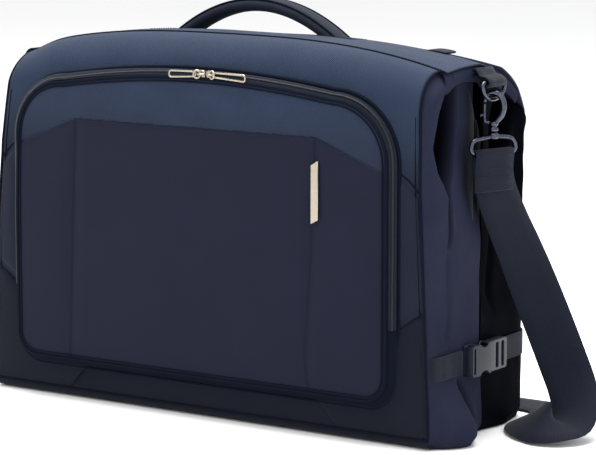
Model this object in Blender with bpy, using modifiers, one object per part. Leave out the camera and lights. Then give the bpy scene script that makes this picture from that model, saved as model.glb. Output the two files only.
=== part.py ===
"""A folded garment bag: two padded halves hang from a top spine that carries the handle.

The halves swing apart about the spine's front and rear edges, so the bag opens flat. The row
frame has +X to the right, the front face towards -Y and +Z up, with the origin at the centre
of the base. All sizes are in metres.
"""

import math

import bmesh
import bpy
from mathutils import Matrix, Vector

# Driving sizes of the folded bag
HALF_WIDTH = 0.275
HALF_DEPTH = 0.107
FRONT_FACE = -0.093
CREST = 0.396
END_DROP = 0.031
FRONT_TOP = 0.362
REAR_TOP = 0.335
GAP = 0.0003

# The soft walls
WALL = 0.004
LINING = 0.002
BOARD = 0.0015
MIDDLE = 0.006
CORNER = 0.03
TOP_CORNER = 0.04

# The fold lines, each just outside the middle of the rounded edge that it opens
FRONT_ROUND = 0.035
REAR_ROUND = 0.06
FRONT_FOLD = Vector((0, -0.0855, 0.3875))
REAR_FOLD = Vector((0, 0.094, 0.382))

# The spine, inside its two rounded edges
SPINE_HALF_LENGTH = 0.272
SPINE_FRONT = -0.078
SPINE_REAR = 0.078

# The front pocket and its zip
POCKET_HALF_WIDTH = 0.243
POCKET_LOW = 0.035
POCKET_TOP = 0.364
POCKET_ARCH = 0.013
POCKET_ARCH_HALF = 0.168
POCKET_SIDE_TOP = 0.28
POCKET_CORNER = 0.035
ZIP_BAND = 0.010
ZIP_END = 0.12
POCKET_DEPTH = 0.0077
POCKET_SKIN = 0.0027
ZIP_MIDDLE = 0.017
SLIDER_OFFSET = 0.0058
PULL_LENGTHS = (0.038, 0.045)
SLIDER_HEIGHT = 0.3585

# The carry handle
HANDLE_Y = 0.010
HANDLE_AXIS_HEIGHT = 0.400
HANDLE_HALF_SPAN = 0.108
HANDLE_END_HEIGHT = 0.403
HANDLE_RISE = 0.0195
HANDLE_RADIUS = 0.0075

# The side buckles, on webbing that runs round each side
BUCKLE_HEIGHT = 0.080
WEB_HALF = 0.0125
WEB_THICK = 0.0017
BUCKLE_X = 0.2838
BUCKLE_HALF_THICK = 0.006
BUCKLE_HALF = 0.016
FEMALE_REAR = 0.006
FEMALE_FRONT = -0.030

# The hardware that carries the shoulder strap
RING_X = 0.290
RING_Y = 0.004
RING_BAR_HEIGHT = 0.3575
RING_WIRE = 0.002
RING_HALF = 0.021
RING_DROP = 0.0175
HOOK_WIRE = 0.0027
HOOK_TURN = math.radians(34)
LOOP_TURN = math.radians(70)
LOOP_BAR_HEIGHT = 0.2865
LOOP_WIRE = 0.0021
STRAP_HALF = 0.025
STRAP_THICK = 0.0018
ADJUSTER_HEIGHT = 0.253

COLLECTION = "garment_bag"
CUTTERS = "cutters"


# ---------------------------------------------------------------- scene and materials


def clear_scene():
    for obj in list(bpy.data.objects):
        bpy.data.objects.remove(obj)
    for name in (COLLECTION, CUTTERS):
        group = bpy.data.collections.new(name)
        bpy.context.scene.collection.children.link(group)


def make_material(name, colour, roughness, metallic=0.0):
    material = bpy.data.materials.new(name)
    material.use_nodes = True
    shader = material.node_tree.nodes["Principled BSDF"]
    shader.inputs["Base Color"].default_value = (*colour, 1.0)
    shader.inputs["Roughness"].default_value = roughness
    shader.inputs["Metallic"].default_value = metallic
    return material


def make_materials():
    return {
        "shell": make_material("shell", (0.021, 0.027, 0.052), 0.85),
        "twill": make_material("twill", (0.028, 0.037, 0.070), 0.80),
        "lining": make_material("lining", (0.055, 0.058, 0.068), 0.70),
        "webbing": make_material("webbing", (0.014, 0.018, 0.034), 0.80),
        "board": make_material("board", (0.030, 0.030, 0.032), 0.60),
        "plastic": make_material("plastic", (0.012, 0.014, 0.022), 0.45),
        "dark_metal": make_material("dark_metal", (0.080, 0.085, 0.110), 0.25, 1.0),
        "bright_metal": make_material("bright_metal", (0.760, 0.690, 0.560), 0.28, 1.0),
    }


def place(obj, material, group=COLLECTION):
    """Links the object to its collection, and gives it its material."""
    bpy.data.collections[group].objects.link(obj)
    if material:
        obj.data.materials.append(material)
    return obj


def as_cutter(obj):
    """Moves an object to the cutters, which are guides and not parts."""
    bpy.data.collections[COLLECTION].objects.unlink(obj)
    bpy.data.collections[CUTTERS].objects.link(obj)
    obj.hide_render = True
    obj.display_type = "WIRE"
    return obj


def pivot(name, point, *parts):
    """An empty on a joint's axis, with the parts that turn or slide there as its children."""
    empty = bpy.data.objects.new(name, None)
    empty.location = point
    bpy.data.collections[COLLECTION].objects.link(empty)
    bpy.context.view_layer.update()
    for part in parts:
        part.parent = empty
        part.matrix_parent_inverse = empty.matrix_world.inverted()
    return empty


# ---------------------------------------------------------------- shapes


def box(name, low, high, material, bevel=0.0):
    """A box between two corners, with its edges bevelled if a width is given."""
    low, high = Vector(low), Vector(high)
    mesh = bpy.data.meshes.new(name)
    bm = bmesh.new()
    bmesh.ops.create_cube(bm, size=1.0)
    size = Matrix.Diagonal((*(high - low), 1.0))
    bmesh.ops.transform(bm, matrix=size, verts=bm.verts)
    bm.to_mesh(mesh)
    bm.free()
    obj = place(bpy.data.objects.new(name, mesh), material)
    obj.location = (low + high) / 2
    if bevel:
        edge = obj.modifiers.new("bevel", "BEVEL")
        edge.width = bevel
        edge.segments = 2
    return obj


def cylinder(name, centre, radius, depth, material, sides=16):
    """An upright cylinder."""
    mesh = bpy.data.meshes.new(name)
    bm = bmesh.new()
    bmesh.ops.create_cone(
        bm, cap_ends=True, segments=sides, radius1=radius, radius2=radius, depth=depth
    )
    bm.to_mesh(mesh)
    bm.free()
    obj = place(bpy.data.objects.new(name, mesh), material)
    obj.location = centre
    return obj


def plate(name, outlines, y_low, y_high, material):
    """A flat plate in the XZ plane, from its outline and any holes, between two depths."""
    curve = bpy.data.curves.new(name, "CURVE")
    curve.dimensions = "2D"
    curve.fill_mode = "BOTH"
    curve.extrude = (y_high - y_low) / 2
    for outline in outlines:
        spline = curve.splines.new("POLY")
        spline.points.add(len(outline) - 1)
        for point, (x, z) in zip(spline.points, outline):
            point.co = (x, z, 0, 1)
        spline.use_cyclic_u = True
    obj = place(bpy.data.objects.new(name, curve), material)
    obj.rotation_euler = (math.pi / 2, 0, 0)
    obj.location = (0, (y_low + y_high) / 2, 0)
    return obj


def wire(name, points, radius, material, closed=False, radii=None):
    """A round wire along its points, with filled caps at open ends."""
    curve = bpy.data.curves.new(name, "CURVE")
    curve.dimensions = "3D"
    curve.bevel_depth = radius
    curve.bevel_resolution = 2
    curve.use_fill_caps = not closed
    spline = curve.splines.new("POLY")
    spline.points.add(len(points) - 1)
    for index, point in enumerate(points):
        spline.points[index].co = (*point, 1)
        if radii:
            spline.points[index].radius = radii[index]
    spline.use_cyclic_u = closed
    return place(bpy.data.objects.new(name, curve), material)


def as_mesh(obj):
    """Turns a curve object into a mesh object with welded caps, which can be cut or joined."""
    bpy.context.view_layer.update()
    graph = bpy.context.evaluated_depsgraph_get()
    mesh = bpy.data.meshes.new_from_object(obj.evaluated_get(graph))
    bm = bmesh.new()
    bm.from_mesh(mesh)
    bmesh.ops.remove_doubles(bm, verts=bm.verts, dist=0.00001)
    bmesh.ops.recalc_face_normals(bm, faces=bm.faces)
    bm.to_mesh(mesh)
    bm.free()
    name = obj.name
    world = obj.matrix_world.copy()
    bpy.data.objects.remove(obj)
    made = bpy.data.objects.new(name, mesh)
    made.matrix_world = world
    bpy.data.collections[COLLECTION].objects.link(made)
    return made


def combine(obj, other, operation):
    """Cuts the other shape from obj, or joins it on, and keeps it as a guide."""
    change = obj.modifiers.new(operation.lower(), "BOOLEAN")
    change.operation = operation
    change.object = as_cutter(other)
    return obj


def arc(centre_x, centre_z, radius, start, end, steps=6):
    """Points of an arc in the XZ plane; the angles are in degrees from +X towards +Z."""
    points = []
    for step in range(steps + 1):
        angle = math.radians(start + (end - start) * step / steps)
        points.append((centre_x + radius * math.cos(angle), centre_z + radius * math.sin(angle)))
    return points


def smooth_route(points, per_span=4):
    """Points of a smooth curve through the route's own points, by Catmull-Rom spans."""
    ends = [points[0] * 2 - points[1], *points, points[-1] * 2 - points[-2]]
    smooth = []
    for a, b, c, d in zip(ends, ends[1:], ends[2:], ends[3:]):
        for step in range(per_span):
            t = step / per_span
            linear = (c - a) * t
            square = (a * 2 - b * 5 + c * 4 - d) * t**2
            cube = (b * 3 - a - c * 3 + d) * t**3
            smooth.append(b + (linear + square + cube) / 2)
    return [*smooth, points[-1]]


# ---------------------------------------------------------------- the two halves


def section_outline(inset, top):
    """The outline of one half, with rounded corners, set in from the outer walls."""
    side = HALF_WIDTH - inset
    low = inset
    high = top - inset
    small = CORNER - inset
    large = TOP_CORNER - inset
    return [
        *arc(side - small, low + small, small, -90, 0),
        *arc(side - large, high - large, large, 0, 90),
        *arc(large - side, high - large, large, 90, 180),
        *arc(small - side, low + small, small, 180, 270),
    ]


def bottom_band():
    """The bottom gusset's section: the base and both of its rounded corners."""
    centre = HALF_WIDTH - CORNER
    outer = [*arc(-centre, CORNER, CORNER, 180, 270), *arc(centre, CORNER, CORNER, 270, 360)]
    inner_radius = CORNER - WALL
    inner = [
        *arc(centre, CORNER, inner_radius, 360, 270),
        *arc(-centre, CORNER, inner_radius, 270, 180),
    ]
    return outer + inner


def top_band(top):
    """The top gusset's section: the top and both of its rounded corners."""
    centre_x = HALF_WIDTH - TOP_CORNER
    centre_z = top - TOP_CORNER
    outer = [
        *arc(centre_x, centre_z, TOP_CORNER, 0, 90),
        *arc(-centre_x, centre_z, TOP_CORNER, 90, 180),
    ]
    inner_radius = TOP_CORNER - WALL
    inner = [
        *arc(-centre_x, centre_z, inner_radius, 180, 90),
        *arc(centre_x, centre_z, inner_radius, 90, 0),
    ]
    return outer + inner


def make_section(prefix, outer_face, facing, top, materials):
    """One half of the bag: outer panel, stiffener board, four gussets and the lining.

    facing is -1 for the front half, whose outer face looks to -Y, and 1 for the rear half.
    """

    def span(start, end):
        """Two depths measured inwards from the outer face, lowest first."""
        return sorted((outer_face - facing * start, outer_face - facing * end))

    depth = abs(outer_face) - MIDDLE
    walls = span(WALL + GAP, depth - LINING - GAP)
    side_low = CORNER + GAP
    side_high = top - TOP_CORNER - GAP
    shell = materials["shell"]
    twill = materials["twill"]
    outline = section_outline(0, top)
    parts = [
        plate(f"{prefix}_panel", [outline], *span(0, WALL), shell),
        plate(
            f"{prefix}_board",
            [section_outline(WALL + GAP, top)],
            *span(WALL + GAP, WALL + GAP + BOARD),
            materials["board"],
        ),
        plate(f"{prefix}_gusset_bottom", [bottom_band()], *walls, twill),
        plate(f"{prefix}_gusset_top", [top_band(top)], *walls, twill),
        plate(f"{prefix}_lining", [outline], *span(depth - LINING, depth), materials["lining"]),
    ]
    for side, sign in (("left", -1), ("right", 1)):
        near, far = sorted((sign * (HALF_WIDTH - WALL), sign * HALF_WIDTH))
        low = (near, walls[0], side_low)
        high = (far, walls[1], side_high)
        parts.append(box(f"{prefix}_gusset_{side}", low, high, twill))
    return parts


# ---------------------------------------------------------------- front pocket


def pocket_top(x, top):
    """The height of the pocket's arched top edge."""
    return top - POCKET_ARCH * (x / POCKET_ARCH_HALF) ** 2


def pocket_upper_path(inset, end_height):
    """The pocket's edge from its right side over the arched top to its left side."""
    side = POCKET_HALF_WIDTH - inset
    top = POCKET_TOP - inset
    shoulder = pocket_top(POCKET_ARCH_HALF, top)
    across = side - POCKET_ARCH_HALF
    down = shoulder - POCKET_SIDE_TOP
    steps = 8
    right = [(side, end_height)]
    for step in range(steps):
        angle = math.pi / 2 * step / steps
        x = POCKET_ARCH_HALF + across * math.cos(angle)
        right.append((x, POCKET_SIDE_TOP + down * math.sin(angle)))
    for step in range(steps):
        x = POCKET_ARCH_HALF * (1 - step / steps)
        right.append((x, pocket_top(x, top)))
    left = [(-x, z) for x, z in reversed(right)]
    return [*right, (0, top), *left]


def pocket_lower_path(inset, end_height):
    """The pocket's edge from its left side round the bottom to its right side."""
    side = POCKET_HALF_WIDTH - inset
    radius = POCKET_CORNER - inset
    low = POCKET_LOW + inset
    left = [(-side, end_height), *arc(radius - side, low + radius, radius, 180, 270)]
    right = [(-x, z) for x, z in reversed(left)]
    return left + right


def make_pocket(materials):
    """The pocket's outer panel, its zip band, its lower gusset and the plain name plate."""
    skin_face = FRONT_FACE - GAP - POCKET_DEPTH
    band = (skin_face, FRONT_FACE - GAP)
    skin = (skin_face - GAP - POCKET_SKIN, skin_face - GAP)
    zip_outline = pocket_upper_path(0, ZIP_END) + pocket_upper_path(ZIP_BAND, ZIP_END)[::-1]
    low_end = ZIP_END - GAP
    low_outline = pocket_lower_path(0, low_end) + pocket_lower_path(ZIP_BAND, low_end)[::-1]
    skin_inset = ZIP_BAND + 0.002
    skin_outline = (
        pocket_upper_path(skin_inset, ZIP_END) + pocket_lower_path(skin_inset, ZIP_END)[1:-1]
    )
    badge_low = skin[0] - GAP - 0.0013
    badge = [(0.147, 0.217), (0.1555, 0.2215), (0.1555, 0.2805), (0.147, 0.276)]
    return [
        plate("pocket_zip_band", [zip_outline], *band, materials["twill"]),
        plate("pocket_gusset", [low_outline], *band, materials["twill"]),
        plate("pocket_panel", [skin_outline], *skin, materials["shell"]),
        plate("name_plate", [badge], badge_low, skin[0] - GAP, materials["bright_metal"]),
    ]


def pull_outline(length, half, hole_start, hole_half, sign, root):
    """A slotted pull tab that points along sign, and its slot."""
    tip = root + sign * length
    outer = [
        (root, -half * 0.6),
        (root + sign * length * 0.3, -half),
        (tip - sign * half * 0.5, -half),
        (tip, -half * 0.5),
        (tip, half * 0.5),
        (tip - sign * half * 0.5, half),
        (root + sign * length * 0.3, half),
        (root, half * 0.6),
    ]
    start = root + sign * hole_start
    end = tip - sign * half * 0.7
    hole = [(start, -hole_half), (end, -hole_half), (end, hole_half), (start, hole_half)]
    return [outer, hole]


def make_pocket_sliders(materials):
    """The pocket's two zip sliders, each on its own slide, with a pull tab on a hinge."""
    metal = materials["bright_metal"]
    base = FRONT_FACE - GAP - POCKET_DEPTH - GAP
    block_front = base - 0.0032
    tab = (block_front - 0.0025, block_front - 0.0005)
    slides = []
    for (side, sign), length in zip((("left", -1), ("right", 1)), PULL_LENGTHS):
        x = ZIP_MIDDLE + sign * SLIDER_OFFSET
        low = (x - 0.005, block_front, SLIDER_HEIGHT - 0.0042)
        high = (x + 0.005, base, SLIDER_HEIGHT + 0.0042)
        block = box(f"pocket_slider_{side}", low, high, metal, 0.0008)
        shape = pull_outline(length, 0.0038, 0.009, 0.0015, sign, 0.0)
        pull = plate(f"pocket_pull_{side}", shape, *tab, metal)
        pull.location.x = x
        pull.location.z = SLIDER_HEIGHT
        hinge_at = (x, sum(tab) / 2, SLIDER_HEIGHT)
        hinge = pivot(f"pocket_pull_{side}_hinge", hinge_at, pull)
        slide_at = (x, base, SLIDER_HEIGHT)
        slides.append(pivot(f"pocket_slider_{side}_slide", slide_at, block, hinge))
    return slides


def make_lining_slider(prefix, facing, x, height, materials):
    """The slider of the zip that closes one half's lining, inside the fold."""
    near = facing * (MIDDLE - GAP)
    far = facing * 0.0022
    low = (x - 0.006, min(near, far), height - 0.02)
    high = (x + 0.006, max(near, far), height + 0.004)
    block = box(f"{prefix}_lining_slider", low, high, materials["bright_metal"], 0.0008)
    return pivot(f"{prefix}_lining_slide", (x, near, height), block)


# ---------------------------------------------------------------- spine and handle


def spine_height(x, y):
    """The outer surface of the spine: arched along its length and rounded at both edges."""
    crest = CREST - END_DROP * abs(x / HALF_WIDTH) ** 3
    front = max(0.0, FRONT_FACE + FRONT_ROUND - y)
    rear = max(0.0, y - (HALF_DEPTH - REAR_ROUND))
    front_drop = FRONT_ROUND - math.sqrt(FRONT_ROUND**2 - front**2)
    rear_drop = REAR_ROUND - math.sqrt(REAR_ROUND**2 - rear**2)
    return crest - front_drop - rear_drop


def spine_sheet(name, half_length, y_low, y_high, sunk, thickness, material):
    """A sheet that follows the spine's outer surface, sunk below it."""
    mesh = bpy.data.meshes.new(name)
    bm = bmesh.new()
    bmesh.ops.create_grid(bm, x_segments=24, y_segments=10, size=0.5)
    for vert in bm.verts:
        x = vert.co.x * 2 * half_length
        y = y_low + (vert.co.y + 0.5) * (y_high - y_low)
        vert.co = Vector((x, y, spine_height(x, y) - sunk))
    bm.to_mesh(mesh)
    bm.free()
    obj = place(bpy.data.objects.new(name, mesh), material)
    shell = obj.modifiers.new("thickness", "SOLIDIFY")
    shell.thickness = thickness
    shell.offset = -1
    return obj


def make_spine(materials):
    """The spine's outer panel and the board under it."""
    spine_sheet(
        "spine_panel", SPINE_HALF_LENGTH, SPINE_FRONT, SPINE_REAR, 0, WALL, materials["twill"]
    )
    spine_sheet(
        "spine_board", 0.255, -0.055, 0.045, WALL + 2 * GAP, BOARD, materials["board"]
    )


def make_handle(materials):
    """The padded handle, which tips about the line through its ends, and its two anchors."""
    radius = (HANDLE_HALF_SPAN**2 + HANDLE_RISE**2) / (2 * HANDLE_RISE)
    steps = 20
    points = []
    sizes = []
    for step in range(steps + 1):
        share = 2 * step / steps - 1
        x = HANDLE_HALF_SPAN * share
        rise = math.sqrt(radius**2 - x**2) - (radius - HANDLE_RISE)
        points.append((x, 0, HANDLE_END_HEIGHT + rise))
        sizes.append(min(1.0, 0.5 + 4.0 * (1 - abs(share))))
    grip = wire("handle_grip", points, HANDLE_RADIUS, materials["shell"], radii=sizes)
    grip.scale.y = 2
    grip.location.y = HANDLE_Y
    pivot("handle_tilt_axis", (0, HANDLE_Y, HANDLE_AXIS_HEIGHT), grip)
    for side, sign in (("left", -1), ("right", 1)):
        centre = sign * (HANDLE_HALF_SPAN + 0.004)
        low = (centre - 0.012, HANDLE_Y - 0.017, CREST - 0.0011)
        high = (centre + 0.012, HANDLE_Y + 0.017, CREST + 0.0002)
        box(f"handle_anchor_{side}", low, high, materials["plastic"], 0.0004)


# ---------------------------------------------------------------- side buckles


def side_box(name, sign, x_span, y_span, z_span, material, bevel=0.0):
    """A box on the right side of the bag, or its mirror image on the left side."""
    x_low, x_high = sorted(sign * x for x in x_span)
    low = (x_low, y_span[0], z_span[0])
    high = (x_high, y_span[1], z_span[1])
    return box(name, low, high, material, bevel)


def around(centre, half):
    return (centre - half, centre + half)


def make_buckle(side, sign, materials):
    """A side-release buckle: what of it rides on the front half, and what on the rear half."""
    web = around(BUCKLE_HEIGHT, WEB_HALF)
    web_x = (HALF_WIDTH + GAP, HALF_WIDTH + GAP + WEB_THICK)
    webbing = materials["webbing"]
    plastic = materials["plastic"]
    front_y = (-0.090, FEMALE_FRONT - GAP)
    rear_y = (0.012, HALF_DEPTH - 0.001)
    front_web = side_box(f"front_web_{side}", sign, web_x, front_y, web, webbing)
    rear_web = side_box(f"rear_web_{side}", sign, web_x, rear_y, web, webbing)

    full_x = around(BUCKLE_X, BUCKLE_HALF_THICK)
    full_z = around(BUCKLE_HEIGHT, BUCKLE_HALF)
    name = f"buckle_female_{side}"
    female = side_box(name, sign, full_x, (FEMALE_FRONT, FEMALE_REAR), full_z, plastic)
    cavity = side_box(
        f"{name}_cavity",
        sign,
        around(BUCKLE_X, 0.0042),
        (FEMALE_FRONT + 0.007, FEMALE_REAR + 0.01),
        around(BUCKLE_HEIGHT, 0.0128),
        None,
    )
    window = side_box(
        f"{name}_window",
        sign,
        around(BUCKLE_X, 0.0030),
        (-0.015, 0.001),
        around(BUCKLE_HEIGHT, 0.03),
        None,
    )
    combine(female, cavity, "DIFFERENCE")
    combine(female, window, "DIFFERENCE")

    root = FEMALE_REAR + 0.0015
    name = f"buckle_male_{side}"
    male_x = around(BUCKLE_X, 0.0048)
    male = side_box(name, sign, male_x, (root, root + 0.032), full_z, plastic)
    for slot, start in (("front", 0.0095), ("rear", 0.0205)):
        hole = side_box(
            f"{name}_{slot}_slot",
            sign,
            around(BUCKLE_X, 0.02),
            (root + start, root + start + 0.006),
            around(BUCKLE_HEIGHT, 0.0130),
            None,
        )
        combine(male, hole, "DIFFERENCE")
    tongue = side_box(
        f"{name}_tongue",
        sign,
        around(BUCKLE_X, 0.0022),
        (-0.018, root + 0.003),
        around(BUCKLE_HEIGHT, 0.0022),
        None,
    )
    combine(male, tongue, "UNION")

    arm_root = root - 3 * GAP
    arms = []
    for place_name, up in (("upper", 1), ("lower", -1)):
        heights = sorted((BUCKLE_HEIGHT + up * 0.0068, BUCKLE_HEIGHT + up * 0.0118))
        name = f"buckle_arm_{side}_{place_name}"
        arm_x = around(BUCKLE_X, 0.0026)
        arm = side_box(name, sign, arm_x, (-0.019, arm_root), heights, plastic, 0.0008)
        hinge = (sign * BUCKLE_X, arm_root, BUCKLE_HEIGHT + up * 0.0093)
        arms.append(pivot(f"{name}_hinge", hinge, arm))
    slide_at = (sign * BUCKLE_X, root, BUCKLE_HEIGHT)
    slide = pivot(f"buckle_{side}_slide", slide_at, male, *arms)
    return [front_web, female], [rear_web, slide]


# ---------------------------------------------------------------- strap hardware


def in_plane(sign, turn, u, height, centre_y=RING_Y):
    """A point u along a level line through the hook's centre, turned about its upright axis."""
    x = RING_X + u * math.cos(turn)
    return Vector((sign * x, centre_y + u * math.sin(turn), height))


def make_strap_tab(side, sign, materials):
    """The webbing tab at the spine's end, with an eye round the ring's straight bar."""
    eye = 0.0046
    hole = 0.0027
    root = HALF_WIDTH - 0.0018
    outer = [(root, RING_BAR_HEIGHT - 0.001), *arc(RING_X, RING_BAR_HEIGHT, eye, -110, 110, 12)]
    outer.append((root, RING_BAR_HEIGHT + 0.003))
    outlines = [
        [(sign * x, z) for x, z in outer],
        [(sign * x, z) for x, z in arc(RING_X, RING_BAR_HEIGHT, hole, 0, 330, 11)],
    ]
    plate(f"strap_tab_{side}", outlines, RING_Y - 0.018, RING_Y + 0.018, materials["webbing"])


def make_ring(side, sign, materials):
    """The D-ring: a straight bar through the tab's eye and a half-round bow below it."""
    points = [Vector((sign * RING_X, RING_Y - RING_HALF, RING_BAR_HEIGHT))]
    points.append(Vector((sign * RING_X, RING_Y + RING_HALF, RING_BAR_HEIGHT)))
    steps = 14
    for step in range(1, steps):
        angle = math.pi * step / steps
        y = RING_Y + (RING_HALF + 0.001) * math.cos(angle)
        z = RING_BAR_HEIGHT - RING_DROP * math.sin(angle) ** 0.8
        points.append(Vector((sign * RING_X, y, z)))
    ring = wire(f"d_ring_{side}", points, RING_WIRE, materials["dark_metal"], closed=True)
    pivot(f"d_ring_{side}_hinge", (sign * RING_X, RING_Y, RING_BAR_HEIGHT), ring)


def make_hook(side, sign, materials):
    """The snap hook, which turns on its post, and its sprung gate."""
    metal = materials["dark_metal"]
    bend = [
        (0.000, 0.3155),
        (0.0045, 0.3195),
        (0.0085, 0.3255),
        (0.0100, 0.3330),
        (0.0085, 0.3405),
        (0.0040, 0.3455),
        (-0.0020, 0.3465),
        (-0.0070, 0.3435),
        (-0.0090, 0.3385),
    ]
    points = smooth_route([in_plane(sign, HOOK_TURN, u, z) for u, z in bend], 2)
    name = f"snap_hook_{side}"
    hook = as_mesh(wire(name, points, HOOK_WIRE, metal))
    centre = in_plane(sign, HOOK_TURN, 0, 0.3125)
    post = cylinder(f"{name}_post", centre, 0.0048, 0.009, None)
    combine(hook, post, "UNION")

    gate_low = in_plane(sign, HOOK_TURN, -0.0088, 0.3175)
    gate_high = in_plane(sign, HOOK_TURN, -0.0090, 0.3350)
    gate = wire(f"hook_gate_{side}", [gate_low, gate_high], 0.0013, metal)
    hinge = pivot(f"hook_gate_{side}_hinge", gate_low, gate)
    pivot(f"{name}_swivel", centre, hook, hinge)


def make_loop(side, sign, materials):
    """The loop under the hook that the shoulder strap is sewn round."""
    half = STRAP_HALF + 0.0035
    top = 0.3025
    low = LOOP_BAR_HEIGHT
    corners = [
        (-half + 0.003, low),
        (half - 0.003, low),
        (half, low + 0.004),
        (half, low + 0.008),
        (half - 0.004, top - 0.003),
        (0.006, top),
        (-0.006, top),
        (0.004 - half, top - 0.003),
        (-half, low + 0.008),
        (-half, low + 0.004),
    ]
    points = [in_plane(sign, LOOP_TURN, u, z) for u, z in corners]
    name = f"strap_loop_{side}"
    loop = as_mesh(wire(name, points, LOOP_WIRE, materials["dark_metal"], closed=True))
    centre = in_plane(sign, LOOP_TURN, 0, 0.3045)
    collar = cylinder(f"{name}_collar", centre, 0.0050, 0.0062, None)
    combine(loop, collar, "UNION")


# ---------------------------------------------------------------- shoulder strap

# The strap's centre line from the right loop to the left loop, and the direction across it
STRAP_ROUTE = [
    ((0.2900, 0.0040, 0.2825), (-0.34, -0.94, 0.00)),
    ((0.2900, 0.0040, 0.2730), (-0.34, -0.94, 0.00)),
    ((0.2918, 0.0085, 0.2480), (-0.36, -0.93, -0.05)),
    ((0.2975, 0.0200, 0.2180), (-0.40, -0.90, -0.14)),
    ((0.3065, 0.0345, 0.1820), (-0.52, -0.82, -0.20)),
    ((0.3165, 0.0475, 0.1440), (-0.66, -0.70, -0.24)),
    ((0.3280, 0.0575, 0.1060), (-0.76, -0.60, -0.25)),
    ((0.3400, 0.0630, 0.0720), (-0.83, -0.50, -0.25)),
    ((0.3530, 0.0600, 0.0460), (-0.88, -0.38, -0.27)),
    ((0.3640, 0.0470, 0.0270), (-0.93, -0.16, -0.20)),
    ((0.3670, 0.0290, 0.0155), (-0.97, 0.08, 0.10)),
    ((0.3610, 0.0130, 0.0168), (-0.78, 0.44, 0.42)),
    ((0.3480, 0.0060, 0.0192), (-0.28, 0.70, 0.65)),
    ((0.3350, 0.0115, 0.0195), (0.24, 0.70, 0.67)),
    ((0.3220, 0.0235, 0.0178), (0.52, 0.62, 0.58)),
    ((0.3110, 0.0400, 0.0142), (0.75, 0.48, 0.45)),
    ((0.3055, 0.0620, 0.0095), (0.93, 0.22, 0.30)),
    ((0.3045, 0.0890, 0.0062), (0.98, 0.02, 0.18)),
    ((0.3020, 0.1130, 0.0045), (0.96, 0.25, 0.10)),
    ((0.2880, 0.1330, 0.0030), (0.75, 0.66, 0.04)),
    ((0.2640, 0.1410, 0.0020), (0.35, 0.94, 0.00)),
    ((0.2280, 0.1415, 0.0016), (0.06, 1.00, 0.00)),
    ((0.1700, 0.1400, 0.0014), (0.00, 1.00, 0.00)),
    ((0.0900, 0.1395, 0.0014), (0.00, 1.00, 0.00)),
    ((0.0100, 0.1395, 0.0014), (0.00, 1.00, 0.00)),
    ((-0.0500, 0.1395, 0.0014), (0.00, 1.00, 0.00)),
    ((-0.1400, 0.1395, 0.0014), (0.00, 1.00, 0.00)),
    ((-0.2200, 0.1390, 0.0014), (0.00, 1.00, 0.00)),
    ((-0.2700, 0.1370, 0.0022), (-0.03, 1.00, 0.00)),
    ((-0.2980, 0.1310, 0.0100), (-0.10, 0.99, -0.03)),
    ((-0.3130, 0.1200, 0.0260), (-0.10, 0.93, 0.25)),
    ((-0.3180, 0.1060, 0.0500), (-0.06, 0.90, 0.40)),
    ((-0.3160, 0.0860, 0.0850), (-0.06, 0.89, 0.43)),
    ((-0.3100, 0.0620, 0.1250), (-0.12, 0.89, 0.43)),
    ((-0.3020, 0.0370, 0.1650), (-0.22, 0.90, 0.33)),
    ((-0.2940, 0.0150, 0.2000), (-0.32, 0.92, 0.15)),
    ((-0.2900, 0.0040, 0.2250), (-0.34, 0.94, 0.00)),
    ((-0.2900, 0.0040, 0.2370), (-0.34, 0.94, 0.00)),
    ((-0.2900, 0.0040, 0.2600), (-0.34, 0.94, 0.00)),
    ((-0.2900, 0.0040, 0.2825), (-0.34, 0.94, 0.00)),
]


def strap_frames():
    """The strap's smooth centre line, with the unit direction across it at each point."""
    centres = smooth_route([Vector(point) for point, across in STRAP_ROUTE], 3)
    sides = smooth_route([Vector(across) for point, across in STRAP_ROUTE], 3)
    frames = []
    last = len(centres) - 1
    for index, (centre, side) in enumerate(zip(centres, sides)):
        ahead = centres[min(index + 1, last)] - centres[max(index - 1, 0)]
        ahead.normalize()
        across = side - ahead * side.dot(ahead)
        frames.append((centre, across.normalized()))
    return frames


def make_strap(materials):
    """The shoulder strap: one flat ribbon of webbing."""
    mesh = bpy.data.meshes.new("shoulder_strap")
    bm = bmesh.new()
    rows = []
    for centre, across in strap_frames():
        edges = (centre - across * STRAP_HALF, centre + across * STRAP_HALF)
        rows.append([bm.verts.new(edge) for edge in edges])
    for (a, b), (c, d) in zip(rows, rows[1:]):
        bm.faces.new((a, b, d, c))
    bm.to_mesh(mesh)
    bm.free()
    strap = place(bpy.data.objects.new("shoulder_strap", mesh), materials["webbing"])
    shell = strap.modifiers.new("thickness", "SOLIDIFY")
    shell.thickness = STRAP_THICK
    shell.offset = 0


# ---------------------------------------------------------------- what the rear half holds


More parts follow.
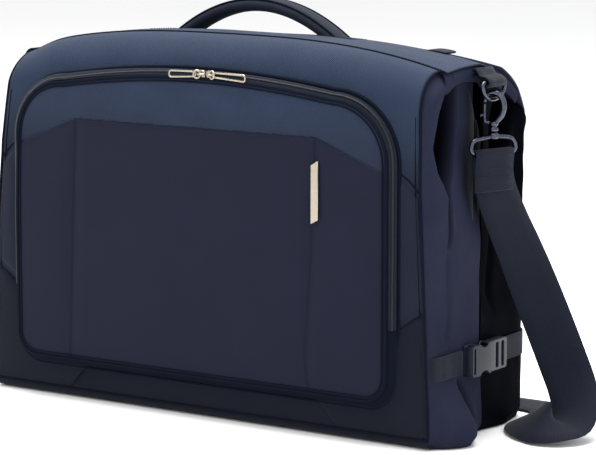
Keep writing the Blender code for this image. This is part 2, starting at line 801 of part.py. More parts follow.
def make_hanger_fittings(materials):
    """The hanger bracket with its clamp, the bag's own hanging hook and the garment straps."""
    board_face = HALF_DEPTH - WALL - GAP - BOARD - GAP
    plastic = materials["plastic"]
    bracket_face = board_face - 0.0055
    low = (-0.032, bracket_face, 0.030)
    high = (0.032, board_face, 0.078)
    bracket = box("hanger_bracket", low, high, plastic, 0.0008)
    jaw_rear = bracket_face - GAP
    low = (-0.028, jaw_rear - 0.0035, 0.036)
    high = (0.028, jaw_rear, 0.074)
    jaw = box("hanger_clamp", low, high, plastic, 0.0008)
    clamp = pivot("hanger_clamp_hinge", (0, jaw_rear, 0.036), jaw)

    hook_y = board_face - 0.0045
    hook_x = 0.130
    bend = [(0.0, 0.024), (0.0, 0.040), (0.0, 0.052), *arc(0.0, 0.072, 0.018, -78, 200, 12)]
    points = [Vector((hook_x + x, hook_y, z)) for x, z in bend]
    hook = wire("hanging_hook", points, 0.002, materials["dark_metal"])
    hanging = pivot("hanging_hook_hinge", points[0], hook)

    fittings = [bracket, clamp, hanging]
    for place_name, height in (("upper", 0.245), ("lower", 0.150)):
        low = (-0.262, board_face - 0.0014, height - 0.0125)
        high = (0.262, board_face, height + 0.0125)
        name = f"garment_strap_{place_name}"
        fittings.append(box(name, low, high, materials["webbing"]))
    return fittings


def make_strap_adjuster(materials):
    """The strap's slide adjuster, a flat frame round the strap below the left hook."""
    turn = math.pi - LOOP_TURN
    centre = Vector((-RING_X, RING_Y, ADJUSTER_HEIGHT))
    plastic = materials["plastic"]
    frame = box("strap_adjuster", (-0.0300, -0.0034, -0.012), (0.0300, 0.0034, 0.012), plastic)
    slot = box("strap_adjuster_slot", (-0.0265, -0.0021, -0.02), (0.0265, 0.0021, 0.02), None)
    for obj in (frame, slot):
        obj.location = centre
        obj.rotation_euler = (0, 0, turn)
    combine(frame, slot, "DIFFERENCE")
    pivot("strap_adjuster_slide", centre, frame)


def main():
    clear_scene()
    materials = make_materials()
    make_spine(materials)
    make_handle(materials)
    front = make_section("front", FRONT_FACE, -1, FRONT_TOP, materials)
    front += make_pocket(materials)
    front += make_pocket_sliders(materials)
    front.append(make_lining_slider("front", -1, 0.150, 0.300, materials))
    rear = make_section("rear", HALF_DEPTH, 1, REAR_TOP, materials)
    rear.append(make_lining_slider("rear", 1, -0.150, 0.300, materials))
    rear += make_hanger_fittings(materials)
    for side, sign in (("left", -1), ("right", 1)):
        on_front, on_rear = make_buckle(side, sign, materials)
        front += on_front
        rear += on_rear
        make_strap_tab(side, sign, materials)
        make_ring(side, sign, materials)
        make_hook(side, sign, materials)
        make_loop(side, sign, materials)
    pivot("front_fold_axis", FRONT_FOLD, *front)
    pivot("rear_fold_axis", REAR_FOLD, *rear)
    make_strap(materials)
    make_strap_adjuster(materials)


main()
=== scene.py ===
"""The looks of a folded garment bag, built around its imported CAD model."""

import math

import bmesh
import bpy
import numpy as np
from mathutils import Matrix, Vector, noise


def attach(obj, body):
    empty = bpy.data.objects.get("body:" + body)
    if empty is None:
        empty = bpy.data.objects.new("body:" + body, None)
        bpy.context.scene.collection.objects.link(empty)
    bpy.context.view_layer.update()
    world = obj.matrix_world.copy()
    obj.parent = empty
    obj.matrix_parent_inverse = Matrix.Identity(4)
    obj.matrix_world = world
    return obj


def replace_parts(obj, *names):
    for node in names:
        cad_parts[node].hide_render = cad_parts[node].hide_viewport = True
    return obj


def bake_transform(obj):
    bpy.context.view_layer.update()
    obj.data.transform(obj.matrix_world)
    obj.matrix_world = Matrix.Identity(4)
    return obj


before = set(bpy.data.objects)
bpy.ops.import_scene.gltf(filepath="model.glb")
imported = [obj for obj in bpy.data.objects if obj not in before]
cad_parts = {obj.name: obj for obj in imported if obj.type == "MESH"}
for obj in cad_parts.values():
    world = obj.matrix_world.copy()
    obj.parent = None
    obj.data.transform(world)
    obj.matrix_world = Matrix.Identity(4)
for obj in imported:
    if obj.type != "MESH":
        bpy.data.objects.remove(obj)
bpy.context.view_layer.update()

# The bag's driving sizes, in metres, as in the CAD model
HALF_WIDTH = 0.275
FRONT_FACE = -0.093
REAR_FACE = 0.107
CREST = 0.396
END_DROP = 0.031
FRONT_ROUND = 0.035
REAR_ROUND = 0.06
SIDE_X = 0.2762
SPINE_FRONT = -0.058
SPINE_REAR = 0.047
SPINE_END = 0.2735
POCKET_FACE = -0.104
FLOOR_GAP = 0.0012  # from the floor to the cloth under the bag
LEFT_LEAN = 0.024  # how much nearer to the middle the left side's upper cloth stands than the right side's
SHELL_THICK = 0.002
SIDE_THICK = 0.0016
SIDES = (("left", -1), ("right", 1))
# The bodies whose pieces keep their shape when the cloth settles
RIGID = {"handle"} | {f"{kind}_{side}" for kind in ("ring", "hook", "gate", "buckle") for side, sign in SIDES}


# ---------------------------------------------------------------- materials


def shader_of(name, roughness, metallic=0.0, sheen=0.0):
    material = bpy.data.materials.new(name)
    material.use_nodes = True
    shader = material.node_tree.nodes["Principled BSDF"]
    shader.inputs["Roughness"].default_value = roughness
    shader.inputs["Metallic"].default_value = metallic
    shader.inputs["Sheen Weight"].default_value = sheen
    shader.inputs["Sheen Roughness"].default_value = 0.45
    shader.inputs["Specular IOR Level"].default_value = 0.5 if metallic or not sheen else 0.12
    return material, material.node_tree, shader


def principled(material):
    return next(node for node in material.node_tree.nodes if node.type == "BSDF_PRINCIPLED")


def node_in(tree, kind, **values):
    node = tree.nodes.new(kind)
    for key, value in values.items():
        if key in node.inputs:
            node.inputs[key].default_value = value
        else:
            setattr(node, key, value)
    return node


def coordinates(tree, use_uv=False, scale=(1, 1, 1)):
    """Object coordinates in metres, or UVs in metres, with a scale for each axis."""
    source = node_in(tree, "ShaderNodeTexCoord")
    mapping = node_in(tree, "ShaderNodeMapping")
    mapping.inputs["Scale"].default_value = scale
    tree.links.new(source.outputs["UV" if use_uv else "Object"], mapping.inputs["Vector"])
    return mapping.outputs["Vector"]


def bands(tree, vector, direction, period):
    """A sine wave in one direction with a period in metres."""
    wave = node_in(tree, "ShaderNodeTexWave", bands_direction=direction)
    own_period = 0.6283 if direction == "DIAGONAL" else 0.3142
    wave.inputs["Scale"].default_value = own_period / period
    wave.inputs["Distortion"].default_value = 0.0
    tree.links.new(vector, wave.inputs["Vector"])
    return wave.outputs["Fac"]


def mottle(tree, vector, size, detail=3.0):
    cloud = node_in(tree, "ShaderNodeTexNoise")
    cloud.inputs["Scale"].default_value = 1.0 / size
    cloud.inputs["Detail"].default_value = detail
    tree.links.new(vector, cloud.inputs["Vector"])
    return cloud.outputs["Fac"]


def maths(tree, operation, first, second):
    node = node_in(tree, "ShaderNodeMath", operation=operation)
    for socket, value in zip(node.inputs, (first, second)):
        if isinstance(value, (int, float)):
            socket.default_value = value
        else:
            tree.links.new(value, socket)
    return node.outputs[0]


def tint(tree, factor, dark, light, shader):
    ramp = node_in(tree, "ShaderNodeValToRGB")
    ramp.color_ramp.elements[0].color = (*dark, 1)
    ramp.color_ramp.elements[1].color = (*light, 1)
    tree.links.new(factor, ramp.inputs["Fac"])
    tree.links.new(ramp.outputs["Color"], shader.inputs["Base Color"])


def relief(tree, height, distance, strength, shader):
    bump = node_in(tree, "ShaderNodeBump")
    bump.inputs["Distance"].default_value = distance
    bump.inputs["Strength"].default_value = strength
    tree.links.new(height, bump.inputs["Height"])
    tree.links.new(bump.outputs["Normal"], shader.inputs["Normal"])


def cloth(name, dark, light, period, depth=0.0004, sheen=0.25, plain=False, roughness=0.78):
    """A woven cloth: a diagonal twill rib crossed by finer threads, or a plain weave."""
    material, tree, shader = shader_of(name, roughness, sheen=sheen)
    here = coordinates(tree)
    flipped = coordinates(tree, scale=(-1, 1, 1))
    rib = bands(tree, here, "DIAGONAL", period)
    cross = bands(tree, flipped, "DIAGONAL", period * (1.0 if plain else 0.45))
    if plain:
        weave = maths(tree, "MULTIPLY", rib, cross)
    else:
        weave = maths(tree, "ADD", maths(tree, "MULTIPLY", rib, 0.75), maths(tree, "MULTIPLY", cross, 0.25))
    cloud = mottle(tree, here, 0.05)
    fluff = mottle(tree, here, 0.0015, 2.0)
    tone = maths(tree, "ADD", maths(tree, "MULTIPLY", weave, 0.45), maths(tree, "MULTIPLY", cloud, 0.35))
    tone = maths(tree, "ADD", tone, maths(tree, "MULTIPLY", fluff, 0.25))
    tint(tree, tone, dark, light, shader)
    relief(tree, weave, depth, 0.6, shader)
    return material


def webbing_cloth(name, dark, light):
    """Ribbed webbing: fine ribs across its length and rows of warp threads along it."""
    material, tree, shader = shader_of(name, 0.72, sheen=0.08)
    here = coordinates(tree, use_uv=True)
    ribs = bands(tree, here, "X", 0.0016)
    warp = bands(tree, here, "Y", 0.0011)
    weave = maths(tree, "MULTIPLY", ribs, warp)
    cloud = mottle(tree, here, 0.03)
    tone = maths(tree, "ADD", maths(tree, "MULTIPLY", weave, 0.5), maths(tree, "MULTIPLY", cloud, 0.45))
    tint(tree, tone, dark, light, shader)
    relief(tree, weave, 0.0004, 0.7, shader)
    return material


def metal(name, dark, light, roughness):
    material, tree, shader = shader_of(name, roughness, metallic=1.0)
    here = coordinates(tree)
    cloud = mottle(tree, here, 0.004, 4.0)
    tint(tree, cloud, dark, light, shader)
    relief(tree, mottle(tree, here, 0.0006, 2.0), 0.00003, 0.35, shader)
    return material


def moulded(name, dark, light, roughness):
    material, tree, shader = shader_of(name, roughness)
    here = coordinates(tree)
    tint(tree, mottle(tree, here, 0.006), dark, light, shader)
    relief(tree, mottle(tree, here, 0.0004, 2.0), 0.00005, 0.5, shader)
    return material


def paint_shade(material, deep, near, dark, upwards=False):
    """Paints shade into cloth along one way: darker down the bag, for the light that falls from above, or
    darker in from its sides where it has fallen inside, for the shade in the hollows.
    """
    tree, shader = material.node_tree, principled(material)
    own = shader.inputs["Base Color"].links[0].from_socket
    place = node_in(tree, "ShaderNodeSeparateXYZ")
    tree.links.new(coordinates(tree), place.inputs[0])
    where = place.outputs["Z"]
    if not upwards:
        mirrored = maths(tree, "SUBTRACT", LEFT_LEAN, place.outputs["X"])
        where = maths(tree, "MAXIMUM", place.outputs["X"], mirrored)
    share = node_in(tree, "ShaderNodeMapRange", interpolation_type="SMOOTHSTEP")
    share.inputs["From Min"].default_value = deep
    share.inputs["From Max"].default_value = near
    tree.links.new(where, share.inputs["Value"])
    painted_shade = node_in(tree, "ShaderNodeMix", data_type="RGBA", blend_type="MULTIPLY")
    painted_shade.inputs["Factor"].default_value = 1.0
    painted_shade.inputs["B"].default_value = (*dark, 1)
    tree.links.new(own, painted_shade.inputs["A"])
    mix = node_in(tree, "ShaderNodeMix", data_type="RGBA")
    tree.links.new(share.outputs[0], mix.inputs["Factor"])
    tree.links.new(painted_shade.outputs["Result"], mix.inputs["A"])
    tree.links.new(own, mix.inputs["B"])
    tree.links.new(mix.outputs["Result"], shader.inputs["Base Color"])


def dull(material, level):
    """Takes the gloss off cloth that lies in the bag's folds."""
    shader = principled(material)
    shader.inputs["Specular IOR Level"].default_value = level
    shader.inputs["Sheen Weight"].default_value = 0.0


def zip_teeth():
    """The zips' coils: fine dark ribs across them."""
    material, tree, shader = shader_of("zip_teeth", 0.4)
    ribs = bands(tree, coordinates(tree), "DIAGONAL", 0.0016)
    tint(tree, ribs, (0.002, 0.003, 0.0065), (0.013, 0.018, 0.03), shader)
    relief(tree, ribs, 0.0006, 0.9, shader)
    return material


TWILL = cloth("twill_cloth", (0.0035, 0.0058, 0.015), (0.027, 0.044, 0.086), 0.0023, sheen=0.08)
SIDE_TWILL = cloth("side_twill_cloth", (0.0012, 0.0018, 0.007), (0.027, 0.031, 0.059), 0.0032, sheen=0.03)
SMOOTH = cloth("smooth_cloth", (0.0044, 0.0056, 0.015), (0.0098, 0.0122, 0.03), 0.0011, 0.0002, 0.05, True)
FLAT = cloth("flat_cloth", (0.002, 0.0034, 0.0086), (0.0055, 0.0084, 0.017), 0.0013, 0.0002, 0.05, True)
PIPING = cloth("piping_cloth", (0.0018, 0.0028, 0.0068), (0.008, 0.011, 0.022), 0.0014, 0.0002, 0.05, True)
LINING = cloth("lining_cloth", (0.01, 0.011, 0.014), (0.024, 0.026, 0.032), 0.001, 0.0001, 0.05, True, 0.55)
# Painted shade: a much darker copy of the twill for the rear half's sides, for the shadow that falls on them
# behind the strap.
REAR_SHADED_TWILL = cloth("rear_shaded_twill_cloth", (0.0006, 0.0008, 0.0018), (0.0022, 0.0026, 0.0052), 0.0026,
                   sheen=0.01)
HANDLE = cloth("handle_cloth", (0.005, 0.0072, 0.014), (0.015, 0.021, 0.036), 0.0014, 0.0002, 0.05, True)
# Painted shade: near-black cloth for the dark line in the groove beside each front side seam.
GROOVE_SHADE = cloth("groove_shade_cloth", (0.0006, 0.0007, 0.001), (0.0016, 0.0017, 0.0024), 0.0013, 0.0002, 0.01,
               True, 0.9)
THREAD = cloth("thread", (0.005, 0.0065, 0.014), (0.018, 0.023, 0.042), 0.0008, 0.0001, 0.1, True)
TAPE = webbing_cloth("zip_tape", (0.004, 0.0058, 0.012), (0.015, 0.021, 0.036))
WEBBING = webbing_cloth("webbing", (0.0022, 0.0036, 0.0088), (0.0086, 0.013, 0.027))
NICKEL = metal("black_nickel", (0.02, 0.024, 0.036), (0.11, 0.125, 0.165), 0.19)
CHAMPAGNE = metal("champagne_plate", (0.34, 0.3, 0.23), (0.52, 0.47, 0.38), 0.26)
ACETAL = moulded("acetal", (0.004, 0.0058, 0.0135), (0.0095, 0.013, 0.026), 0.38)
TEETH = zip_teeth()
BOARD = moulded("stiffener", (0.018, 0.018, 0.02), (0.04, 0.04, 0.044), 0.65)

# Painted shade and light: the twill is darker towards the bottom and lighter towards the top, for the light
# that falls from above.
paint_shade(TWILL, 0.235, 0.345, (0.44, 0.4, 0.42), True)
# Painted shade: the side cloth and the rear side cloth darken where they fall in from the sides, for the
# shade in their hollows.
paint_shade(SIDE_TWILL, 0.246, 0.268, (0.06, 0.06, 0.06))
paint_shade(REAR_SHADED_TWILL, 0.24, 0.27, (0.2, 0.2, 0.2))
for material, level in ((SIDE_TWILL, 0.05), (PIPING, 0.04), (REAR_SHADED_TWILL, 0.02)):
    dull(material, level)


# ---------------------------------------------------------------- making pieces


def add_piece(name, mesh, material, body):
    obj = bpy.data.objects.new(name, mesh)
    bpy.context.scene.collection.objects.link(obj)
    if material:
        mesh.materials.append(material)
    if body:
        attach(obj, body)
    return obj


def mesh_of(obj):
    """The object's mesh as it is drawn, with its modifiers or its curve's bevel in it."""
    bpy.context.view_layer.update()
    return bpy.data.meshes.new_from_object(obj.evaluated_get(bpy.context.evaluated_depsgraph_get()))


def mesh_of_curve(curve):
    obj = bpy.data.objects.new(curve.name, curve)
    bpy.context.scene.collection.objects.link(obj)
    mesh = mesh_of(obj)
    bpy.data.objects.remove(obj)
    mesh.materials.clear()
    return mesh


def smooth_shaded(mesh):
    mesh.polygons.foreach_set("use_smooth", [True] * len(mesh.polygons))


def faced_out(mesh, merge=0.0, fill=0):
    """Turns the mesh's faces outwards. It first merges points and fills holes, where asked."""
    bm = bmesh.new()
    bm.from_mesh(mesh)
    if merge:
        bmesh.ops.remove_doubles(bm, verts=bm.verts, dist=merge)
    if fill:
        bmesh.ops.holes_fill(bm, edges=[edge for edge in bm.edges if edge.is_boundary], sides=fill)
    bmesh.ops.recalc_face_normals(bm, faces=bm.faces)
    bm.to_mesh(mesh)
    bm.free()


def grid(rows, columns, low=0.0):
    """Shares of the way up a sheet, as a column, and across it from low to 1, as a row."""
    return np.linspace(0, 1, rows)[:, None], np.linspace(low, 1, columns)[None, :]


# How far the empty bag's cloth has settled: its ends rise or fall by depth, its middle drops by depth, and
# its left end leans in by height
END_DEPTHS = [-0.058, -0.03, 0.004, 0.038, 0.061, 0.082, 0.094, 0.107]
END_SHIFTS = [0.004, 0.007, 0.008, 0.001, -0.008, -0.015, -0.024, -0.026]
CROWN_DEPTHS = [-0.058, -0.03, 0.0, 0.02, 0.05, 0.08, 0.107]
CROWN_DROPS = [0.0, 0.0005, 0.0025, 0.0045, 0.0085, 0.01, 0.01]
LEAN_HEIGHTS = [0.2, 0.27, 0.335, 0.361, 0.4]
LEAN_SHARES = [1.0, 0.985, 0.945, 0.925, 0.91]


SETTLED_REACH = 0.284  # beyond this x nothing settles
LEFT_DROP = 0.006  # how much lower the left end's top lies
LEAN_START = 0.19  # the x from which the left end leans in


def settled(points):
    """The shape that the empty bag takes: its top falls to the rear and its left end leans in."""
    points = np.array(points, float)
    x, y, z = points[..., 0].copy(), points[..., 1], points[..., 2]
    reach = smoothstep((SETTLED_REACH - np.abs(x)) / 0.006)
    out = np.clip(np.abs(x) / HALF_WIDTH, 0, 1)
    ends = out**4
    lift = np.interp(y, END_DEPTHS, END_SHIFTS) * ends
    lift = lift - np.interp(y, CROWN_DEPTHS, CROWN_DROPS) * (1 - ends)
    left_drop = LEFT_DROP * out**2 * (x < 0) * smoothstep((z - 0.3) / 0.06)
    inwards = (1 - np.interp(z, LEAN_HEIGHTS, LEAN_SHARES)) * smoothstep((np.abs(x) - LEAN_START) / 0.08)
    points[..., 2] = z + (lift * smoothstep((z - 0.24) / 0.11) - left_drop) * reach
    points[..., 0] = np.where(x < 0, x * (1 - inwards * reach), x)
    return points


def surface(name, points, material, body, outward, thickness=0.0, closed=False):
    """A smooth sheet through rows by columns of points, facing outward: a way, or a function of the points.

    A thickness makes it solid, to the inside. A closed sheet's last column joins its first.
    """
    if body not in RIGID:
        points = settled(points)
    rows, columns = points.shape[:2]
    index = np.arange(rows * columns).reshape(rows, columns)
    if closed:
        index = np.hstack([index, index[:, :1]])
    a, b = index[:-1, :-1].ravel(), index[:-1, 1:].ravel()
    d, c = index[1:, :-1].ravel(), index[1:, 1:].ravel()
    faces = np.stack([a, b, c, d], axis=1)
    flat = points.reshape(-1, 3)
    normals = np.cross(flat[b] - flat[a], flat[d] - flat[a])
    towards = outward(flat[a]) if callable(outward) else np.array(outward, float)
    if (normals * towards).sum() < 0:
        faces = faces[:, ::-1]
    mesh = bpy.data.meshes.new(name)
    mesh.from_pydata(flat.tolist(), [], faces.tolist())
    smooth_shaded(mesh)
    obj = add_piece(name, mesh, material, None)
    if thickness:
        shell = obj.modifiers.new("thickness", "SOLIDIFY")
        shell.thickness, shell.offset = thickness, -1
        mesh = mesh_of(obj)
        obj.modifiers.clear()
        obj.data = mesh
    if body:
        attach(obj, body)
    return obj


def tube(name, points, radius, material, body, closed=False, radii=None, sides=4):
    """A round cord, pipe or wire along its points."""
    if body not in RIGID:
        points = settled([tuple(p) for p in points])
    curve = bpy.data.curves.new(name, "CURVE")
    curve.dimensions = "3D"
    curve.bevel_depth = radius
    curve.bevel_resolution = sides
    curve.use_fill_caps = not closed
    spline = curve.splines.new("POLY")
    spline.points.add(len(points) - 1)
    for number, point in enumerate(points):
        spline.points[number].co = (*point, 1)
        if radii is not None:
            spline.points[number].radius = radii[number]
    spline.use_cyclic_u = closed
    mesh = mesh_of_curve(curve)
    smooth_shaded(mesh)
    return add_piece(name, mesh, material, body)


def piping(name, points, radius, body, closed=False):
    return tube(name, points, radius, PIPING, body, closed=closed)


def smooth_route(points, per_span=4):
    """Points of a smooth curve through the given ones, by Catmull-Rom spans."""
    points = [Vector(p) for p in points]
    ends = [points[0] * 2 - points[1], *points, points[-1] * 2 - points[-2]]
    smooth = []
    for a, b, c, d in zip(ends, ends[1:], ends[2:], ends[3:]):
        for step in range(per_span):
            t = step / per_span
            linear = (c - a) * t
            square = (a * 2 - b * 5 + c * 4 - d) * t**2
            cube = (b * 3 - a - c * 3 + d) * t**3
            smooth.append(b + (linear + square + cube) / 2)
    return [*smooth, points[-1]]


NARROW_BAND = 0.02  # half width: narrower webbing on the spine is sewn to its cloth and settles with it


def ribbon(name, centres, sides, half, thickness, material, body):
    """A flat band with rounded edges and UVs in metres, along and across it."""
    last = len(centres) - 1
    profile = []
    for way in (1, -1):
        for turn in range(4):
            angle = math.radians(-67.5 + 45 * turn)
            edge = half - thickness / 2 + thickness / 2 * math.cos(angle)
            profile.append((way * edge, way * math.sin(angle) / 2))
        profile += [(way * half * k, way * 0.5) for k in (0.5, 0.0, -0.5)]
    if body == "spine" and half < NARROW_BAND:
        centres = [Vector(p) for p in settled([tuple(c) for c in centres])]
    verts, lengths, travelled = [], [], 0.0
    for number, (centre, side) in enumerate(zip(centres, sides)):
        ahead = centres[min(number + 1, last)] - centres[max(number - 1, 0)]
        ahead.normalize()
        across = (side - ahead * side.dot(ahead)).normalized()
        normal = ahead.cross(across)
        if number:
            travelled += (centre - centres[number - 1]).length
        lengths.append(travelled)
        for u, w in profile:
            verts.append(centre + across * u + normal * w * thickness)
    count = len(profile)
    faces = []
    for row in range(last):
        for k in range(count):
            after = (k + 1) % count
            a, b = row * count + k, row * count + after
            faces.append((a, b, b + count, a + count))
    faces.append(tuple(range(count))[::-1])
    faces.append(tuple(last * count + k for k in range(count)))
    mesh = bpy.data.meshes.new(name)
    mesh.from_pydata([tuple(v) for v in verts], [], faces)
    layer = mesh.uv_layers.new(name="UVMap")
    for loop in mesh.loops:
        row, k = divmod(loop.vertex_index, count)
        layer.data[loop.index].uv = (lengths[row], profile[k][0])
    smooth_shaded(mesh)
    faced_out(mesh)
    return add_piece(name, mesh, material, body)


def webbing_band(name, route, across, half, thickness, body):
    """A webbing ribbon whose way across is the same all along."""
    return ribbon(name, route, [across] * len(route), half, thickness, WEBBING, body)


def stitches(name, points, body, normal, gap=0.0034, length=0.0022, radius=0.00032):
    """A row of short thread stitches along a line, standing just proud of the cloth."""
    if body not in RIGID:
        points = settled([tuple(p) for p in points])
    points = [Vector(p) for p in points]
    normal = Vector(normal).normalized()
    mesh = bpy.data.meshes.new(name)
    bm = bmesh.new()
    carried = gap / 2
    for a, b in zip(points, points[1:]):
        run = b - a
        span = run.length
        if span < 1e-6:
            continue
        ahead = run / span
        side = ahead.cross(normal).normalized()
        while carried < span:
            middle = a + ahead * carried
            ends = (middle - ahead * length / 2, middle + ahead * length / 2)
            ring = []
            for end, lift in ((ends[0], 0.2), (middle, 1.0), (ends[1], 0.2)):
                top = end + normal * radius * lift
                ring.append([bm.verts.new(top + side * radius), bm.verts.new(top + normal * radius),
                             bm.verts.new(top - side * radius), bm.verts.new(end - normal * radius)])
            for one, two in zip(ring, ring[1:]):
                for k in range(4):
                    bm.faces.new((one[k], one[(k + 1) % 4], two[(k + 1) % 4], two[k]))
            bm.faces.new(ring[0][::-1])
            bm.faces.new(ring[-1])
            carried += gap
        carried -= span
    bmesh.ops.recalc_face_normals(bm, faces=bm.faces)
    bm.to_mesh(mesh)
    bm.free()
    smooth_shaded(mesh)
    return add_piece(name, mesh, THREAD, body)


def ripple(x, y, z, size, amount, seed=0.0):
    """Smooth unevenness of cloth, from noise at the given size."""
    flat = [np.ravel(v) for v in np.broadcast_arrays(x, y, z)]
    out = [noise.noise(Vector((a / size + seed, b / size, c / size))) for a, b, c in zip(*flat)]
    return np.array(out).reshape(np.broadcast_shapes(np.shape(x), np.shape(y), np.shape(z))) * amount


def smoothstep(t):
    t = np.clip(t, 0.0, 1.0)
    return t * t * (3 - 2 * t)


def hump(value, centre, width):
    """A bell curve of height 1."""
    return np.exp(-(((value - centre) / width) ** 2))


def crest(x):
    """The height of the top's ridge at x: it drops towards the ends."""
    return CREST - END_DROP * np.abs(x / HALF_WIDTH) ** 3


# ---------------------------------------------------------------- camera, light, stage


def make_camera():
    turn, rise, distance = math.radians(34.13), math.radians(8.78), 2.821
    target = Vector((0.0591, 0.0, 0.1923))
    way = Vector((math.sin(turn) * math.cos(rise), -math.cos(turn) * math.cos(rise), math.sin(rise)))
    data = bpy.data.cameras.new("camera")
    data.lens = 163.4
    data.sensor_width = 36.0
    camera = bpy.data.objects.new("camera", data)
    camera.location = target + way * distance
    camera.rotation_euler = way.to_track_quat("Z", "Y").to_euler()
    bpy.context.scene.collection.objects.link(camera)
    bpy.context.scene.camera = camera


def make_light(name, place, aim, size, power, colour=(1, 1, 1)):
    data = bpy.data.lights.new(name, "AREA")
    data.shape = "RECTANGLE"
    data.size, data.size_y = size
    data.energy = power
    data.color = colour
    light = bpy.data.objects.new(name, data)
    light.location = place
    light.rotation_euler = (Vector(place) - Vector(aim)).to_track_quat("Z", "Y").to_euler()
    bpy.context.scene.collection.objects.link(light)


FLOOR_HALF = 6.0


def make_stage():
    bpy.context.scene.view_settings.view_transform = "Standard"
    world = bpy.data.worlds.new("studio")
    bpy.context.scene.world = world
    world.use_nodes = True
    background = world.node_tree.nodes["Background"]
    background.inputs["Color"].default_value = (1.0, 1.0, 1.0, 1)
    background.inputs["Strength"].default_value = 1.0
    material, tree, shader = shader_of("pale_floor", 0.9)
    tint(tree, mottle(tree, coordinates(tree), 0.6), (0.86, 0.86, 0.87), (0.9, 0.9, 0.9), shader)
    mesh = bpy.data.meshes.new("floor")
    corners = [(a * FLOOR_HALF, b * FLOOR_HALF, 0) for a, b in ((-1, -1), (1, -1), (1, 1), (-1, 1))]
    mesh.from_pydata(corners, [], [(0, 1, 2, 3)])
    mesh.materials.append(material)
    floor = bpy.data.objects.new("floor", mesh)
    bpy.context.scene.collection.objects.link(floor)
    make_light("key", (-0.8, -1.6, 2.6), (0, 0, 0.2), (1.6, 1.2), 30)
    make_light("top", (0.0, 0.3, 2.6), (0, 0, 0.3), (2.4, 1.8), 110)
    make_light("fill", (2.4, -0.9, 1.0), (0.2, 0, 0.2), (1.2, 1.4), 9, (0.95, 0.97, 1.0))


make_camera()
make_stage()


# ---------------------------------------------------------------- shoulder strap

# The strap's middle line, from the right loop along the floor to the left one, and its way across at each
STRAP_ROUTE = [
    ((0.29, 0.004, 0.2825), (-0.34, -0.94, 0)),
    ((0.29, 0.004, 0.273), (-0.34, -0.94, 0)),
    ((0.2918, 0.0085, 0.248), (-0.36, -0.93, -0.05)),
    ((0.2975, 0.02, 0.218), (-0.4, -0.9, -0.14)),
    ((0.3065, 0.0345, 0.182), (-0.52, -0.82, -0.2)),
    ((0.3165, 0.0475, 0.144), (-0.66, -0.7, -0.24)),
    ((0.328, 0.0575, 0.106), (-0.76, -0.6, -0.25)),
    ((0.34, 0.063, 0.072), (-0.83, -0.5, -0.25)),
    ((0.353, 0.06, 0.046), (-0.88, -0.38, -0.27)),
    ((0.364, 0.047, 0.027), (-0.93, -0.16, -0.2)),
    ((0.367, 0.029, 0.0155), (-0.97, 0.08, 0.1)),
    ((0.361, 0.013, 0.0168), (-0.78, 0.44, 0.42)),
    ((0.348, 0.006, 0.0192), (-0.28, 0.7, 0.65)),
    ((0.335, 0.0115, 0.0195), (0.24, 0.7, 0.67)),
    ((0.322, 0.0235, 0.0178), (0.52, 0.62, 0.58)),
    ((0.311, 0.04, 0.0142), (0.75, 0.48, 0.45)),
    ((0.3055, 0.062, 0.0095), (0.93, 0.22, 0.3)),
    ((0.3045, 0.089, 0.0062), (0.98, 0.02, 0.18)),
    ((0.302, 0.113, 0.0045), (0.96, 0.25, 0.1)),
    ((0.288, 0.133, 0.003), (0.75, 0.66, 0.04)),
    ((0.264, 0.141, 0.002), (0.35, 0.94, 0)),
    ((0.228, 0.1415, 0.0016), (0.06, 1, 0)),
    ((0.17, 0.14, 0.0014), (0, 1, 0)),
    ((0.09, 0.1395, 0.0014), (0, 1, 0)),
    ((0.01, 0.1395, 0.0014), (0, 1, 0)),
    ((-0.05, 0.1395, 0.0014), (0, 1, 0)),
    ((-0.14, 0.1395, 0.0014), (0, 1, 0)),
    ((-0.22, 0.139, 0.0014), (0, 1, 0)),
    ((-0.27, 0.137, 0.0022), (-0.03, 1, 0)),
    ((-0.298, 0.131, 0.01), (-0.1, 0.99, -0.03)),
    ((-0.313, 0.12, 0.026), (-0.1, 0.93, 0.25)),
    ((-0.318, 0.106, 0.05), (-0.06, 0.9, 0.4)),
    ((-0.316, 0.086, 0.085), (-0.06, 0.89, 0.43)),
    ((-0.31, 0.062, 0.125), (-0.12, 0.89, 0.43)),
    ((-0.302, 0.037, 0.165), (-0.22, 0.9, 0.33)),
    ((-0.294, 0.015, 0.2), (-0.32, 0.92, 0.15)),
    ((-0.29, 0.004, 0.225), (-0.34, 0.94, 0)),
    ((-0.29, 0.004, 0.237), (-0.34, 0.94, 0)),
    ((-0.29, 0.004, 0.26), (-0.34, 0.94, 0)),
    ((-0.29, 0.004, 0.2825), (-0.34, 0.94, 0)),
]

STRAP_HALF, STRAP_THICK = 0.025, 0.0018

strap_centres = smooth_route([centre for centre, across in STRAP_ROUTE])
strap_sides = smooth_route([across for centre, across in STRAP_ROUTE])
strap = ribbon("shoulder_strap_webbing", strap_centres, strap_sides, STRAP_HALF, STRAP_THICK, WEBBING,
               "spine")
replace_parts(strap, "shoulder_strap")


# ---------------------------------------------------------------- front half


